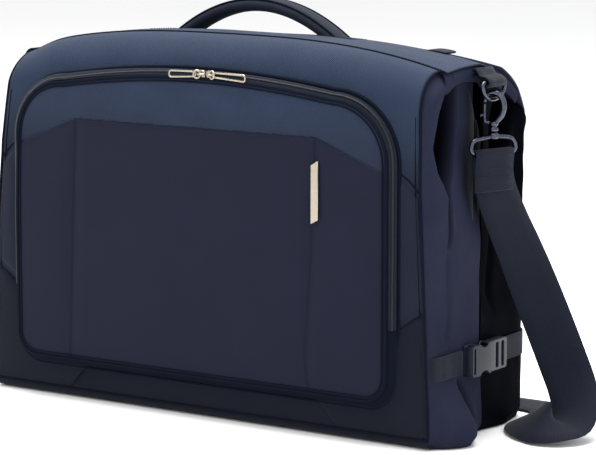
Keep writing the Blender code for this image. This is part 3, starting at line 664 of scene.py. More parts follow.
def half_profile(x, v, way, face, low, fold, turn):
    """Depth and height of a half's cloth at x: from under the base, up its face, and over the top.

    way is -1 for the front half and 1 for the rear one. low and fold are the radii at the base and the top.
    The cloth turns over the top after the share turn of its length, which v runs along.
    """
    top = crest(x) - fold
    base = FLOOR_GAP + low
    y = way * 0.01 + np.clip(v / 0.12, 0, 1) * (face - way * low - way * 0.01)
    z = np.full_like(y, FLOOR_GAP)
    angle = np.clip((v - 0.12) / 0.05, 0, 1) * math.pi / 2
    y = np.where(v > 0.12, face - way * low * (1 - np.sin(angle)), y)
    z = np.where(v > 0.12, FLOOR_GAP + low * (1 - np.cos(angle)), z)
    rise = np.clip((v - 0.17) / (turn - 0.17), 0, 1)
    z = np.where(v > 0.17, base + rise * (top - base), z)
    angle = np.clip((v - turn) / (1 - turn), 0, 1) * math.pi / 2
    y = np.where(v > turn, face - way * fold * (1 - np.cos(angle)), y)
    z = np.where(v > turn, top + fold * np.sin(angle), z)
    return y, z


def front_profile(x, v):
    return half_profile(x, v, -1, FRONT_FACE, 0.01, FRONT_ROUND, 0.85)


def front_edge(z):
    """Where the front's side seam lies: further out towards the base."""
    return 0.2645 + 0.0115 * np.clip((0.26 - z) / 0.24, 0, 1)


LOW_BAND = 0.034  # the top of the smooth band along the front's foot


def make_front_shell():
    """The front half's cloth in one sheet, from under the base to the spine."""
    v, u = grid(150, 181, -1)
    x = u * 0.268 + 0 * v
    # The side seam's place depends on the height, and the height a little on the place
    for _ in range(3):
        y, z = front_profile(x, v + 0 * u)
        x = u * front_edge(z)
    y, z = front_profile(x, v + 0 * u)
    face = smoothstep((z - 0.015) / 0.03) * smoothstep((0.392 - z) / 0.03)
    y = y + (ripple(x, 0 * x, z, 0.09, 0.0016) - 0.0012 * hump(x, 0.0, 0.2)) * face
    shell = surface("front_shell", np.stack([x, y, z], -1), TWILL, None, (0, -1, 0.3), SHELL_THICK)
    shell.data.materials.append(FLAT)
    for polygon in shell.data.polygons:
        polygon.material_index = int(polygon.center.z < LOW_BAND)
    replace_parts(shell, "front_panel")
    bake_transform(shell)


# The lip of the hollow that the front half's side cloth makes: its depth by height, and its back's
LIP_HEIGHTS = [0.1, 0.165, 0.19, 0.21, 0.2475, 0.273, 0.297, 0.326, 0.351, 0.38]
LIP_DEPTHS = [-0.055, -0.055, -0.061, -0.056, -0.057, -0.078, -0.086, -0.078, -0.063, -0.058]
BACK_HEIGHTS = [0.19, 0.215, 0.25, 0.285, 0.31, 0.36]
BACK_DEPTHS = [-0.05, -0.046, -0.04, -0.03, -0.026, -0.026]
LEFT_TUCK = 0.0075  # how much further in the left side's cloth lies, above its foot


def front_hollow(y, z, variant):
    """How far the front half's side cloth falls inwards: a dark hollow under the top fold."""
    lip = np.interp(z, LIP_HEIGHTS, LIP_DEPTHS)
    back = np.interp(z, BACK_HEIGHTS, BACK_DEPTHS)
    inside = smoothstep((y - lip) / 0.006) * smoothstep((back - y) / 0.006)
    window = smoothstep((z - 0.192) / 0.02) * smoothstep((0.356 - z) / 0.012)
    deep = 0.052 * inside * window * np.interp(z, [0.19, 0.23, 0.26, 0.3], [0.35, 0.5, 0.8, 1.0])
    crease = 0.0035 * hump(y, -0.056 + 0.01 * (z - 0.15), 0.004) * smoothstep((z - 0.09) / 0.02)
    crease = crease * smoothstep((0.2 - z) / 0.02)
    sunk = 0.01 * smoothstep((y + 0.048) / 0.012) * smoothstep((z - 0.2) / 0.06)
    pleat = 0.016 * hump(y, -0.03 - 0.3 * (z - 0.04), 0.0045) * smoothstep((z - 0.006) / 0.015)
    pleat = pleat * smoothstep((0.066 - z) / 0.012)
    swell = 0.025 * hump(y, -0.052, 0.03) * smoothstep((0.07 - z) / 0.066)
    soft = ripple(0 * y, y, z, 0.035, 0.0022, 3.0 * variant) * smoothstep((y + 0.085) / 0.02)
    return deep + crease + sunk + pleat - swell + soft


def make_front_side(side, sign):
    """One side of the front half: from its front seam round the corner to the inner fold."""
    t, s = grid(190, 92)
    turn = np.clip(s / 0.2, 0, 1) * math.pi / 2
    depth = FRONT_FACE + 0.016 * (1 - np.cos(turn)) + np.clip((s - 0.2) / 0.8, 0, 1) * 0.081
    top_z = CREST - END_DROP * 0.93 - FRONT_ROUND
    over = np.sqrt(np.clip(FRONT_ROUND**2 - np.clip(SPINE_FRONT - depth, 0, FRONT_ROUND) ** 2, 0, 1))
    high = top_z + np.where(depth < SPINE_FRONT, over, FRONT_ROUND)
    high = high - 0.004 * smoothstep((depth + 0.06) / 0.02)
    away = np.clip(1 - (depth - FRONT_FACE) / 0.01, 0, 1)
    foot_z = FLOOR_GAP + 0.0125 * (1 - np.sqrt(np.clip(1 - away**2, 0, 1)))
    z = foot_z + t * (high - foot_z)
    depth = depth + 0 * t
    edge = front_edge(z)
    out = SIDE_X + 0.003 * smoothstep((0.1 - z) / 0.08)
    if sign < 0:
        out = out - LEFT_TUCK * smoothstep((z - 0.17) / 0.1)
    x = edge + (out - edge) * np.sin(turn)
    x = x - front_hollow(depth, z, 0.0 if sign > 0 else 1.0) * smoothstep((s - 0.12) / 0.1)
    roll = smoothstep((z - high + 0.016) / 0.016) * smoothstep((-0.046 - depth) / 0.012)
    x = x + (edge - 0.001 - x) * roll
    foot = 0.006 * smoothstep((0.012 - z) / 0.012)
    points = np.stack([sign * (x - foot), depth, z], -1)
    wall = surface(f"front_side_{side}", points, SIDE_TWILL, "front_half", (sign, 0, 0), SIDE_THICK)
    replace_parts(wall, f"front_gusset_{side}")
    seam = [(sign * (front_edge(height) + 0.0006), FRONT_FACE - 0.0004, height)
            for height in np.linspace(0.01, top_z, 60)]
    for step in range(1, 13):
        angle = math.pi / 2 * step / 12
        seam.append((sign * 0.2655, SPINE_FRONT - FRONT_ROUND * math.cos(angle),
                     top_z + FRONT_ROUND * math.sin(angle) + 0.0004))
    piping(f"front_side_piping_{side}", seam, 0.0014, "front_half")
    # A near-black cord just inside each side seam: painted shade in the seam's groove.
    groove = [(a - sign * 0.0052, b - 0.0002, c) for a, b, c in seam if c < 0.33]
    tube(f"front_side_groove_{side}", groove, 0.0006, GROOVE_SHADE, "front_half")


PANEL_LEFT = 0.15  # the inner end of the corner panel
STRIP_LEFT, STRIP_WIDE = 0.2385, 0.031  # the strip above it, beside the pocket


def low_edge(x, start):
    """The corner panel's upper edge at x: level from the height start, then rising to the side seam."""
    return start + 0.7 * np.clip(x - 0.237, 0, 1)


def make_low_panels(side, sign):
    """The smooth cloth round each lower corner of the front, its sewn upper edge, and the strip above it."""
    t, across = grid(60, 90)
    x = PANEL_LEFT + across * (0.2752 - PANEL_LEFT) + 0 * t
    high, low = low_edge(x, 0.114), 0.0112
    z = low + t * (high - low)
    right = front_edge(z) - 0.0008
    left = PANEL_LEFT + 0.9 * np.clip(0.036 - z, 0, 0.025)
    x = left + (np.minimum(x, right) - PANEL_LEFT) * (right - left) / (right - PANEL_LEFT)
    rim = np.minimum(np.minimum(high - z, z - low), front_edge(z) - x)
    y = FRONT_FACE - 0.0026 * (1 - np.exp(-np.clip(rim, 0, 1) / 0.006))
    y = y + ripple(x, 0 * x, z, 0.05, 0.0006, 21.0)
    points = np.stack([sign * x, y, z], -1)
    surface(f"front_low_panel_{side}", points, FLAT, "front_half", (0, -1, 0), 0.001)
    line = [(sign * a, FRONT_FACE - 0.0008, low_edge(a, 0.1145)) for a in np.linspace(0.238, 0.2715, 20)]
    piping(f"front_low_seam_{side}", line, 0.0009, "front_half")
    shoulder = [(0.244, 0.2715), (0.252, 0.2665), (0.26, 0.259), (0.2635, 0.255)]
    line = smooth_route([(sign * a, FRONT_FACE - 0.0004, b) for a, b in shoulder], 5)
    piping(f"front_shoulder_seam_{side}", line, 0.001, "front_half")
    t, u = grid(60, 14)
    low = low_edge(STRIP_LEFT + u * STRIP_WIDE, 0.119)
    z = low + t * (0.269 - 0.019 * u**1.4 - low)
    x = STRIP_LEFT + u * (front_edge(z) - 0.0012 - STRIP_LEFT)
    rim = np.minimum(np.minimum(t, 1 - t) * 0.14, np.minimum(u, 1 - u) * 0.027)
    y = FRONT_FACE - 0.003 * (1 - np.exp(-rim / 0.004)) + 0.0006
    points = np.stack([sign * x, y, z], -1)
    surface(f"front_strip_{side}", points, TWILL, "front_half", (0, -1, 0), 0.001)


make_front_shell()
for side, sign in SIDES:
    make_front_side(side, sign)
    make_low_panels(side, sign)
foot_line = [(a, FRONT_FACE - 0.0004, 0.0105) for a in np.linspace(-0.2745, 0.2745, 120)]
piping("front_base_piping", foot_line, 0.0013, "front_half")


# ---------------------------------------------------------------- front pocket

POCKET_HALF = 0.243
POCKET_LOW = 0.035
POCKET_TOP = 0.364
ARCH = 0.013
ARCH_HALF = 0.168
SHOULDER = 0.28
POCKET_CORNER = 0.035
PANEL_INSET = 0.0115  # from the pocket's outline to its front panel's edge
PANEL_SEAM = 0.3035  # the level seam between the panel's smooth cloth and the twill above it


def pocket_loop(inset):
    """The pocket's outline, set in from its base, as x and z from the top's middle round."""
    side, top, low = POCKET_HALF - inset, POCKET_TOP - inset, POCKET_LOW + inset
    radius = POCKET_CORNER - inset
    half = []
    for x in np.linspace(0, ARCH_HALF, 40)[:-1]:
        half.append((x, top - ARCH * (x / ARCH_HALF) ** 2))
    shoulder = top - ARCH
    for angle in np.linspace(math.pi / 2, 0, 26):
        half.append((ARCH_HALF + (side - ARCH_HALF) * math.cos(angle),
                     SHOULDER + (shoulder - SHOULDER) * math.sin(angle)))
    for z in np.linspace(SHOULDER, low + radius, 40)[1:]:
        half.append((side, z))
    for angle in np.linspace(0, -math.pi / 2, 14)[1:]:
        half.append((side - radius + radius * math.cos(angle), low + radius + radius * math.sin(angle)))
    for x in np.linspace(side - radius, 0, 40)[1:]:
        half.append((x, low))
    right = np.array(half)
    left = right[::-1][1:-1] * [-1, 1]
    return np.vstack([right, left])


def pocket_span(x):
    """The lowest and highest points of the pocket's panel at x."""
    side, low = POCKET_HALF - PANEL_INSET, POCKET_LOW + PANEL_INSET
    radius = POCKET_CORNER - PANEL_INSET
    across = np.clip(np.abs(x) - (side - radius), 0, radius)
    bottom = low + radius - np.sqrt(radius**2 - across**2)
    top = POCKET_TOP - PANEL_INSET
    shoulder = top - ARCH
    share = np.clip((np.abs(x) - ARCH_HALF) / (side - ARCH_HALF), 0, 1)
    curve = SHOULDER + (shoulder - SHOULDER) * np.sqrt(1 - share**2)
    high = np.where(np.abs(x) < ARCH_HALF, top - ARCH * (x / ARCH_HALF) ** 2, curve)
    return bottom, high


# The sewn lines on the pocket's panel, as x and z: down its left and right, and across its top
SEAM_LINES = [
    [(-0.151, PANEL_SEAM), (-0.1535, 0.26), (-0.157, 0.18), (-0.1605, 0.1), (-0.1625, 0.0468)],
    [(0.151, PANEL_SEAM), (0.1495, 0.26), (0.1455, 0.18), (0.1405, 0.11), (0.139, 0.08), (0.1425, 0.0468)],
    [(-0.2315, 0.271), (-0.225, 0.2755), (-0.151, PANEL_SEAM),
     (0.151, PANEL_SEAM), (0.225, 0.2755), (0.2315, 0.271)],
]


def distance_to(lines, x, z):
    """The distance from each point to the nearest of the lines."""
    best = np.full(x.shape, 1.0)
    for line in lines:
        for (ax, az), (bx, bz) in zip(line, line[1:]):
            dx, dz = bx - ax, bz - az
            t = np.clip(((x - ax) * dx + (z - az) * dz) / (dx * dx + dz * dz), 0, 1)
            best = np.minimum(best, np.hypot(x - ax - t * dx, z - az - t * dz))
    return best


def pocket_depth(x, z):
    """The outer surface of the pocket's panel: padded fields between sunken seams."""
    bottom, high = pocket_span(x)
    edge = np.minimum(np.minimum(z - bottom, high - z), POCKET_HALF - PANEL_INSET - np.abs(x))
    seam = distance_to(SEAM_LINES, x, z)
    puff = 0.0022 * (1 - np.exp(-np.clip(edge, 0, 1) / 0.016)) * (1 - 0.55 * np.exp(-((seam / 0.009) ** 2)))
    groove = 0.0012 * np.exp(-((seam / 0.0013) ** 2))
    soft = ripple(x, 0 * x, z, 0.11, 0.0011, 7.0) + ripple(x, 0 * x, z, 0.035, 0.0003, 2.0)
    return POCKET_FACE - puff + groove + soft * smoothstep(edge / 0.03)


def make_pocket_panel():
    """The pocket's padded front: smooth cloth, with twill above its level seam, and its rows of stitches."""
    t, x = grid(221, 321, -1)
    x = x * (POCKET_HALF - PANEL_INSET)
    bottom, high = pocket_span(x)
    z = bottom + t * (high - bottom)
    x = x + 0 * t
    points = np.stack([x, pocket_depth(x, z), z], -1)
    panel = surface("pocket_front", points, SMOOTH, "front_half", (0, -1, 0), 0.0022)
    panel.data.materials.append(TWILL)
    for polygon in panel.data.polygons:
        seam = PANEL_SEAM - max(0.0, abs(polygon.center.x) - 0.151) * 0.4
        polygon.material_index = int(polygon.center.z > seam)
    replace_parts(panel, "pocket_panel")
    for number, line in enumerate(SEAM_LINES):
        corners = [Vector((a, 0, b)) for a, b in line]
        spots = []
        for a, b in zip(corners, corners[1:]):
            steps = max(2, int((b - a).length / 0.004))
            spots += [a.lerp(b, k / steps) for k in range(steps)]
        beside, below = (0.0022, 0) if number < 2 else (0, 0.0024)
        row = []
        for spot in [*spots, corners[-1]]:
            x, z = spot.x + beside, spot.z - below
            row.append((x, float(pocket_depth(np.array(x), np.array(z))) - 0.0001, z))
        stitches(f"pocket_seam_stitches_{number + 1}", row, "front_half", (0, -1, 0), 0.003, 0.0021, 0.0002)


ZIP_END = 0.118  # the height at which the zip's tape ends on each side
ZIP_DEPTH = -0.0996
POCKET_MIDDLE = 0.2  # a height from which the pocket's outline lies outwards


def make_pocket_walls():
    """The band round the pocket, its piping, and the zip that runs over its top and down its sides."""
    base, rim = pocket_loop(0.0), pocket_loop(0.0105)
    rows = []
    for t in np.linspace(0, 1, 10):
        ring = base + (rim - base) * t
        away = ring - np.array([0.0, POCKET_MIDDLE])
        ring = ring + away / np.linalg.norm(away, axis=1)[:, None] * 0.0012 * math.sin(math.pi * t)
        y = FRONT_FACE + 0.0008 + (POCKET_FACE + 0.0002 - FRONT_FACE) * t
        rows.append(np.column_stack([ring[:, 0], np.full(len(ring), y), ring[:, 1]]))
    wall = surface("pocket_wall", np.array(rows), PIPING, "front_half",
                   lambda p: np.column_stack([p[:, 0], -0.05 + 0 * p[:, 0], p[:, 2] - POCKET_MIDDLE]),
                   0.0012, closed=True)
    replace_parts(wall, "pocket_gusset", "pocket_zip_band")
    for place, inset, depth, radius in (("outer", 0.0005, FRONT_FACE - 0.001, 0.0017),
                                        ("inner", 0.01, POCKET_FACE + 0.0002, 0.0019),
                                        ("rim", 0.014, POCKET_FACE - 0.0008, 0.0009)):
        line = [(x, depth, z) for x, z in pocket_loop(inset)]
        piping(f"pocket_piping_{place}", line, radius, "front_half", closed=True)
    middle = pocket_loop(0.0052)
    start = next(k for k, p in enumerate(middle) if p[1] <= ZIP_END)
    last = len(middle) - next(k for k, p in enumerate(middle[::-1]) if p[1] <= ZIP_END)
    line = [Vector((x, ZIP_DEPTH, z)) for x, z in [*middle[last:], *middle[:start]]]
    outwards = [Vector((p.x, 0, p.z - POCKET_MIDDLE)) for p in line]
    across = []
    for k, outward in enumerate(outwards):
        ahead = line[min(k + 1, len(line) - 1)] - line[max(k - 1, 0)]
        way = ahead.cross(Vector((0, -1, 0))).normalized() * 0.75 + Vector((0, -0.6, 0))
        across.append(-way + Vector((0, -1.2, 0)) if way.dot(outward) > 0 else way)
    ribbon("pocket_zip_tape", line, across, 0.0042, 0.0008, TAPE, "front_half")
    proud = Vector((0, -0.0007, 0))
    coil = [p + proud + outward.normalized() * 0.0007 for p, outward in zip(line, outwards)]
    tube("pocket_zip_coil", coil, 0.001, TEETH, "front_half")


make_pocket_panel()
make_pocket_walls()


def prism(name, outlines, low, high, bevel, material, slot, body, across="x", mirror=1):
    """A plate with rounded edges from flat outlines, outer first and then holes.

    Across x the outlines are (y, z) and the plate lies between two x; across y they are (x, z).
    """
    curve = bpy.data.curves.new(name, "CURVE")
    curve.dimensions = "2D"
    curve.fill_mode = "BOTH"
    curve.extrude = (high - low) / 2 - bevel
    curve.bevel_depth = bevel
    curve.bevel_resolution = 2
    curve.offset = -bevel
    for outline in outlines:
        spline = curve.splines.new("POLY")
        spline.points.add(len(outline) - 1)
        for point, (a, b) in zip(spline.points, outline):
            point.co = (a, b, 0, 1)
        spline.use_cyclic_u = True
    mesh = mesh_of_curve(curve)
    middle = (low + high) / 2
    if across == "x":
        turn = Matrix(((0, 0, 1, middle), (1, 0, 0, 0), (0, 1, 0, 0), (0, 0, 0, 1)))
    else:
        turn = Matrix(((1, 0, 0, 0), (0, 0, -1, middle), (0, 1, 0, 0), (0, 0, 0, 1)))
    mesh.transform(turn)
    if mirror < 0:
        mesh.transform(Matrix.Diagonal((-1, 1, 1, 1)))
    faced_out(mesh, merge=0.00001)
    return add_piece(name, mesh, material, body)


def rounded(low_a, high_a, low_b, high_b, radius, steps=4):
    """A rounded rectangle's outline."""
    points = []
    left, right, bottom, top = low_a + radius, high_a - radius, low_b + radius, high_b - radius
    centres = ((right, bottom), (right, top), (left, top), (left, bottom))
    for (centre_a, centre_b), start in zip(centres, (-90, 0, 90, 180)):
        for step in range(steps + 1):
            angle = math.radians(start + 90 * step / steps)
            points.append((centre_a + radius * math.cos(angle), centre_b + radius * math.sin(angle)))
    return points


# ---------------------------------------------------------------- pocket zip sliders and plate


ZIP_MIDDLE, ZIP_HEIGHT, SLIDER_OFFSET = 0.017, 0.3585, 0.0058
PULL_LENGTHS = (0.038, 0.045)
PULL_TILT = 0.035


def make_pocket_sliders():
    """The two sliders that meet near the zip's middle, with their wire pulls, and the plain plate."""
    height = ZIP_HEIGHT
    for (side, sign), length in zip(SIDES, PULL_LENGTHS):
        x = ZIP_MIDDLE + sign * SLIDER_OFFSET
        body = f"pocket_slider_{side}"
        corner = [(-0.0048, -0.003), (-0.002, -0.0042), (0.002, -0.0042), (0.0048, -0.003)]
        outline = [(x + a, height + b) for a, b in corner + [(-a, -b) for a, b in corner]]
        slider = prism(f"zip_slider_{side}", [outline], -0.1046, -0.1012, 0.0006, CHAMPAGNE, "bright_metal",
                       body, across="y")
        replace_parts(slider, f"pocket_slider_{side}")
        arch = ((-0.004, -0.1042), (-0.0032, -0.1062), (0, -0.1072), (0.0032, -0.1062), (0.004, -0.1042))
        bridge = smooth_route([(x + a, b, height) for a, b in arch])
        tube(f"zip_slider_bridge_{side}", bridge, 0.0011, CHAMPAGNE, body)
        body = f"pocket_pull_{side}"
        ring = []
        for step in range(20):
            angle = 2 * math.pi * step / 20
            ring.append((x + sign * (0.0035 + 0.0036 * math.cos(angle)), -0.1066 - 0.001 * math.cos(angle),
                         height + 0.004 * math.sin(angle)))
        tube(f"zip_pull_ring_{side}", ring, 0.001, CHAMPAGNE, body, closed=True)
        loop = []
        for a, b in rounded(0.0052, length, -0.0033, 0.0033, 0.0024, 5):
            drop = PULL_TILT * (a - 0.005)
            loop.append((x + sign * a, -0.1068 + 0.0006 * math.sin(a * 90),
                         height + b * (1 - 8 * abs(a - length)) - drop))
        pull = tube(f"zip_pull_loop_{side}", loop, 0.001, CHAMPAGNE, body, closed=True)
        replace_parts(pull, f"pocket_pull_{side}")
    outline = [(0.147, 0.217), (0.1555, 0.2215), (0.1555, 0.2805), (0.147, 0.276)]
    plate = prism("plain_name_plate", [outline], -0.1078, -0.1052, 0.0005, CHAMPAGNE, "bright_metal",
                  "front_half", across="y")
    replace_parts(plate, "name_plate")


make_pocket_sliders()


# ---------------------------------------------------------------- spine, handle


def spine_height(x, y):
    front = np.clip(FRONT_FACE + FRONT_ROUND - y, 0, FRONT_ROUND)
    rear = np.clip(y - (REAR_FACE - REAR_ROUND), 0, REAR_ROUND)
    drop = FRONT_ROUND - np.sqrt(FRONT_ROUND**2 - front**2) + REAR_ROUND - np.sqrt(REAR_ROUND**2 - rear**2)
    return crest(x) - drop


def on_spine(x, y, lift=0.0):
    return float(spine_height(np.array(x), np.array(y))) + lift


def on_crest(x, lift=0.0):
    return float(crest(np.array(x))) + lift


SPINE_END_SPAN = (-0.0625, 0.079)  # the depths between which the spine's cloth turns down at its ends


def make_spine():
    """The narrow top between the two halves, its seams, and its cloth turned down at the ends."""
    x = np.linspace(-SPINE_END, SPINE_END, 181)[:, None]
    y = np.linspace(SPINE_FRONT, SPINE_REAR, 46)[None, :]
    x, y = x + 0 * y, y + 0 * x
    inner = smoothstep((y - SPINE_FRONT) / 0.02) * smoothstep((SPINE_REAR - y) / 0.02)
    z = spine_height(x, y) + (0.0012 + ripple(x, y, 0 * x, 0.07, 0.001, 4.0)) * inner
    top = surface("spine_cloth", np.stack([x, y, z], -1), TWILL, "spine", (0, 0, 1), 0.0022)
    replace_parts(top, "spine_panel")
    for place, depth, shift in (("front", SPINE_FRONT, 0.0035), ("rear", SPINE_REAR, -0.0035)):
        line = [(a, depth, on_spine(a, depth, 0.0003)) for a in np.linspace(-SPINE_END, SPINE_END, 120)]
        piping(f"spine_seam_{place}", line, 0.0011, "spine")
        row = [(a, depth + shift, on_spine(a, depth + shift, 0.0004))
               for a in np.linspace(-SPINE_END + 0.004, SPINE_END - 0.004, 120)]
        stitches(f"spine_stitches_{place}", row, "spine", (0, 0, 1), 0.0034, 0.0023, 0.00022)
    for side, sign in SIDES:
        y = np.linspace(*SPINE_END_SPAN, 70)[None, :]
        t = np.linspace(0, 1, 12)[:, None]
        drop = 0.0165 + 0.002 * np.sin(y * 60) + 0.004 * hump(y, -0.055, 0.012)
        z = spine_height(np.array(SPINE_END), y) - t * drop
        x = SPINE_END + 0.0028 * np.sin(math.pi * t * 0.9) - 0.003 * t
        x = x + ripple(0 * y, y, z, 0.02, 0.0006, 9.0)
        points = np.stack([sign * (x + 0 * y), y + 0 * t, z], -1)
        surface(f"spine_end_{side}", points, SIDE_TWILL, "spine", (sign, 0, 0), SIDE_THICK)
        rim = [(sign * (SPINE_END + 0.0002), b, on_spine(SPINE_END, b, -0.0004))
               for b in np.linspace(*SPINE_END_SPAN, 60)]
        piping(f"spine_end_piping_{side}", rim, 0.0012, "spine")


# The handle arches as a parabola along x
HANDLE_X, HANDLE_Y, HANDLE_SPAN, HANDLE_TOP, HANDLE_BOW = 0.007, 0.01, 0.104, 0.4224, 3.7
GRIP_HALF_Y, GRIP_HALF_Z = 0.0142, 0.0073
PATCH_X, PATCH_Y = (0.0965, 0.129), (-0.0085, 0.0285)  # between which the patches at its feet lie


def make_handle():
    """The padded handle with its two lines of piping, and the patches at its feet."""
    rings, seams = [], ([], [])
    count = 32
    for away in HANDLE_SPAN * np.linspace(-1, 1, 75):
        slope = -2 * HANDLE_BOW * away
        tall = math.hypot(1, slope)
        z = HANDLE_TOP - HANDLE_BOW * away**2

        def across(dy, dz):
            return HANDLE_X + away - dz * slope / tall, HANDLE_Y + dy, z + dz / tall

        ring = []
        for step in range(count):
            angle = 2 * math.pi * step / count
            c, s = math.cos(angle), math.sin(angle)
            ring.append(across(GRIP_HALF_Y * math.copysign(abs(c) ** 0.82, c),
                               GRIP_HALF_Z * math.copysign(abs(s) ** 0.92, s)))
        rings.append(ring)
        for line, way in zip(seams, (-1, 1)):
            line.append(across(way * GRIP_HALF_Y * 0.8, GRIP_HALF_Z * 0.76))

    def from_middle(p):
        arch = HANDLE_TOP - HANDLE_BOW * (p[:, 0] - HANDLE_X) ** 2
        return np.column_stack([0 * p[:, 0], p[:, 1] - HANDLE_Y, p[:, 2] - arch])

    grip = surface("handle_cloth", np.array(rings), HANDLE, "handle", from_middle, closed=True)
    faced_out(grip.data, fill=count)
    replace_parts(grip, "handle_grip")
    for line, name in zip(seams, ("front", "rear")):
        piping(f"handle_piping_{name}", line, 0.0012, "handle")
    for side, sign in SIDES:
        x = np.linspace(*PATCH_X, 14)[:, None]
        y = np.linspace(*PATCH_Y, 14)[None, :]
        z = crest(x + 0 * y) + 0.0016 - 0.0008 * (np.abs(y - HANDLE_Y) > 0.0175)
        points = np.stack([sign * (x + 0 * y), y + 0 * x, z], -1)
        patch = surface(f"handle_patch_{side}", points, FLAT, "spine", (0, 0, 1), 0.0014)
        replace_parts(patch, f"handle_anchor_{side}")
        outline = rounded(0.0985, 0.127, -0.0065, 0.0265, 0.002, 2)
        row = [(sign * a, b, on_crest(a, 0.0018)) for a, b in [*outline, outline[0]]]
        stitches(f"handle_patch_stitches_{side}", row, "spine", (0, 0, 1), 0.003, 0.0021, 0.00025)


TAB_X = (0.24, 0.216)  # the middles of the left and right webbing ends
TAB_Y = 0.024


def make_top_tabs():
    """The two flat webbing ends that lie on the top near its ends."""
    for (side, sign), middle in zip(SIDES, TAB_X):
        spots = ((-0.013, 0.0014), (-0.006, 0.0032), (0.002, 0.004), (0.009, 0.0042), (0.012, 0.0038))
        route = [(sign * (middle + a), TAB_Y, on_crest(middle + a, lift)) for a, lift in spots]
        webbing_band(f"top_tab_{side}", smooth_route(route, 3), Vector((0, 1, 0)), 0.011, 0.0022, "spine")


make_spine()
make_handle()
make_top_tabs()


# ---------------------------------------------------------------- rear half


REAR_EDGE = 0.257


def make_rear_shell():
    """The rear half's cloth in one sheet, from under the base to the spine."""
    v, u = grid(130, 141, -1)
    x = u * (REAR_EDGE + 0 * v)
    y, z = half_profile(x, v + 0 * u, 1, REAR_FACE, 0.014, REAR_ROUND, 0.77)
    over = smoothstep((z - 0.3) / 0.05)
    x = x * (1 + over * (SPINE_END / REAR_EDGE - 1))
    face = smoothstep((z - 0.015) / 0.03) * smoothstep((0.385 - z) / 0.03)
    y = y + (ripple(x, 0 * x, z, 0.1, 0.0018, 5.0) + 0.001 * hump(z, 0.17, 0.12)) * face
    shell = surface("rear_shell", np.stack([x, y, z], -1), TWILL, None, (0, 1, 0.3), SHELL_THICK)
    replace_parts(shell, "rear_panel")
    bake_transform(shell)


def rear_hollow(y, z, variant):
    """How far the rear half's side cloth falls inwards."""
    hole = smoothstep((y - 0.035) / 0.008) * smoothstep((0.088 - y + 0.25 * (z - 0.33)) / 0.01)
    hole = 0.03 * hole * smoothstep((z - 0.262) / 0.018)
    sunk = 0.01 * smoothstep((z - 0.11) / 0.03) * smoothstep((0.36 - z) / 0.05)
    sunk = sunk * smoothstep((y - 0.006) / 0.012) * smoothstep((0.098 - y) / 0.012)
    fold = 0.004 * hump(y, 0.045 + 0.1 * (z - 0.2), 0.006) * smoothstep((z - 0.11) / 0.03)
    soft = ripple(0 * y, y, z, 0.035, 0.002, 11.0 + 3.0 * variant)
    swell = 0.004 * hump(y, 0.05, 0.03) * smoothstep((0.06 - z) / 0.04)
    return hole + sunk + fold + soft - swell


def make_rear_side(side, sign):
    """One side of the rear half: from its inner fold round the corner to the rear seam."""
    t, s = grid(170, 92)
    turn = np.clip((s - 0.74) / 0.26, 0, 1) * math.pi / 2
    depth = 0.0075 + np.clip(s / 0.74, 0, 1) * 0.0745 + 0.025 * np.sin(turn)
    low_round = 0.014
    away = np.clip((depth - REAR_FACE + low_round) / low_round, 0, 1)
    foot_z = FLOOR_GAP + low_round * (1 - np.sqrt(np.clip(1 - away**2, 0, 1)))
    roof = CREST - END_DROP * 0.95 - REAR_ROUND
    over = np.sqrt(np.clip(REAR_ROUND**2 - np.clip(depth - SPINE_REAR, 0, REAR_ROUND) ** 2, 0, 1))
    high = np.minimum(roof + over, 0.356) - 0.003
    z = foot_z + t * (high - foot_z)
    depth = depth + 0 * t
    x = SIDE_X - (SIDE_X - REAR_EDGE) * (1 - np.cos(turn))
    x = x + smoothstep((z - 0.3) / 0.05) * (SPINE_END - REAR_EDGE) * (1 - np.cos(turn))
    sunk = rear_hollow(depth, z, 0.0 if sign > 0 else 1.0) + 0.004 * smoothstep((0.012 - z) / 0.012)
    x = x - sunk * smoothstep((1 - s) / 0.12)
    points = np.stack([sign * x, depth, z], -1)
    # The rear sides' cloth is the darker copy of the twill: painted shade.
    wall = surface(f"rear_side_{side}", points, REAR_SHADED_TWILL, "rear_half", (sign, 0, 0), SIDE_THICK)
    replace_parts(wall, f"rear_gusset_{side}")
    out = sign * (REAR_EDGE + 0.0005)
    seam = [(out, REAR_FACE + 0.0006, height) for height in np.linspace(0.016, 0.31, 60)]
    piping(f"rear_side_piping_{side}", seam, 0.0012, "rear_half")


make_rear_shell()
for side, sign in SIDES:
    make_rear_side(side, sign)


# ---------------------------------------------------------------- the fold's inner faces


LINING_HALF = 0.2735
LINING_ZIP_Z, LINING_ZIP_HALF = 0.292, 0.235


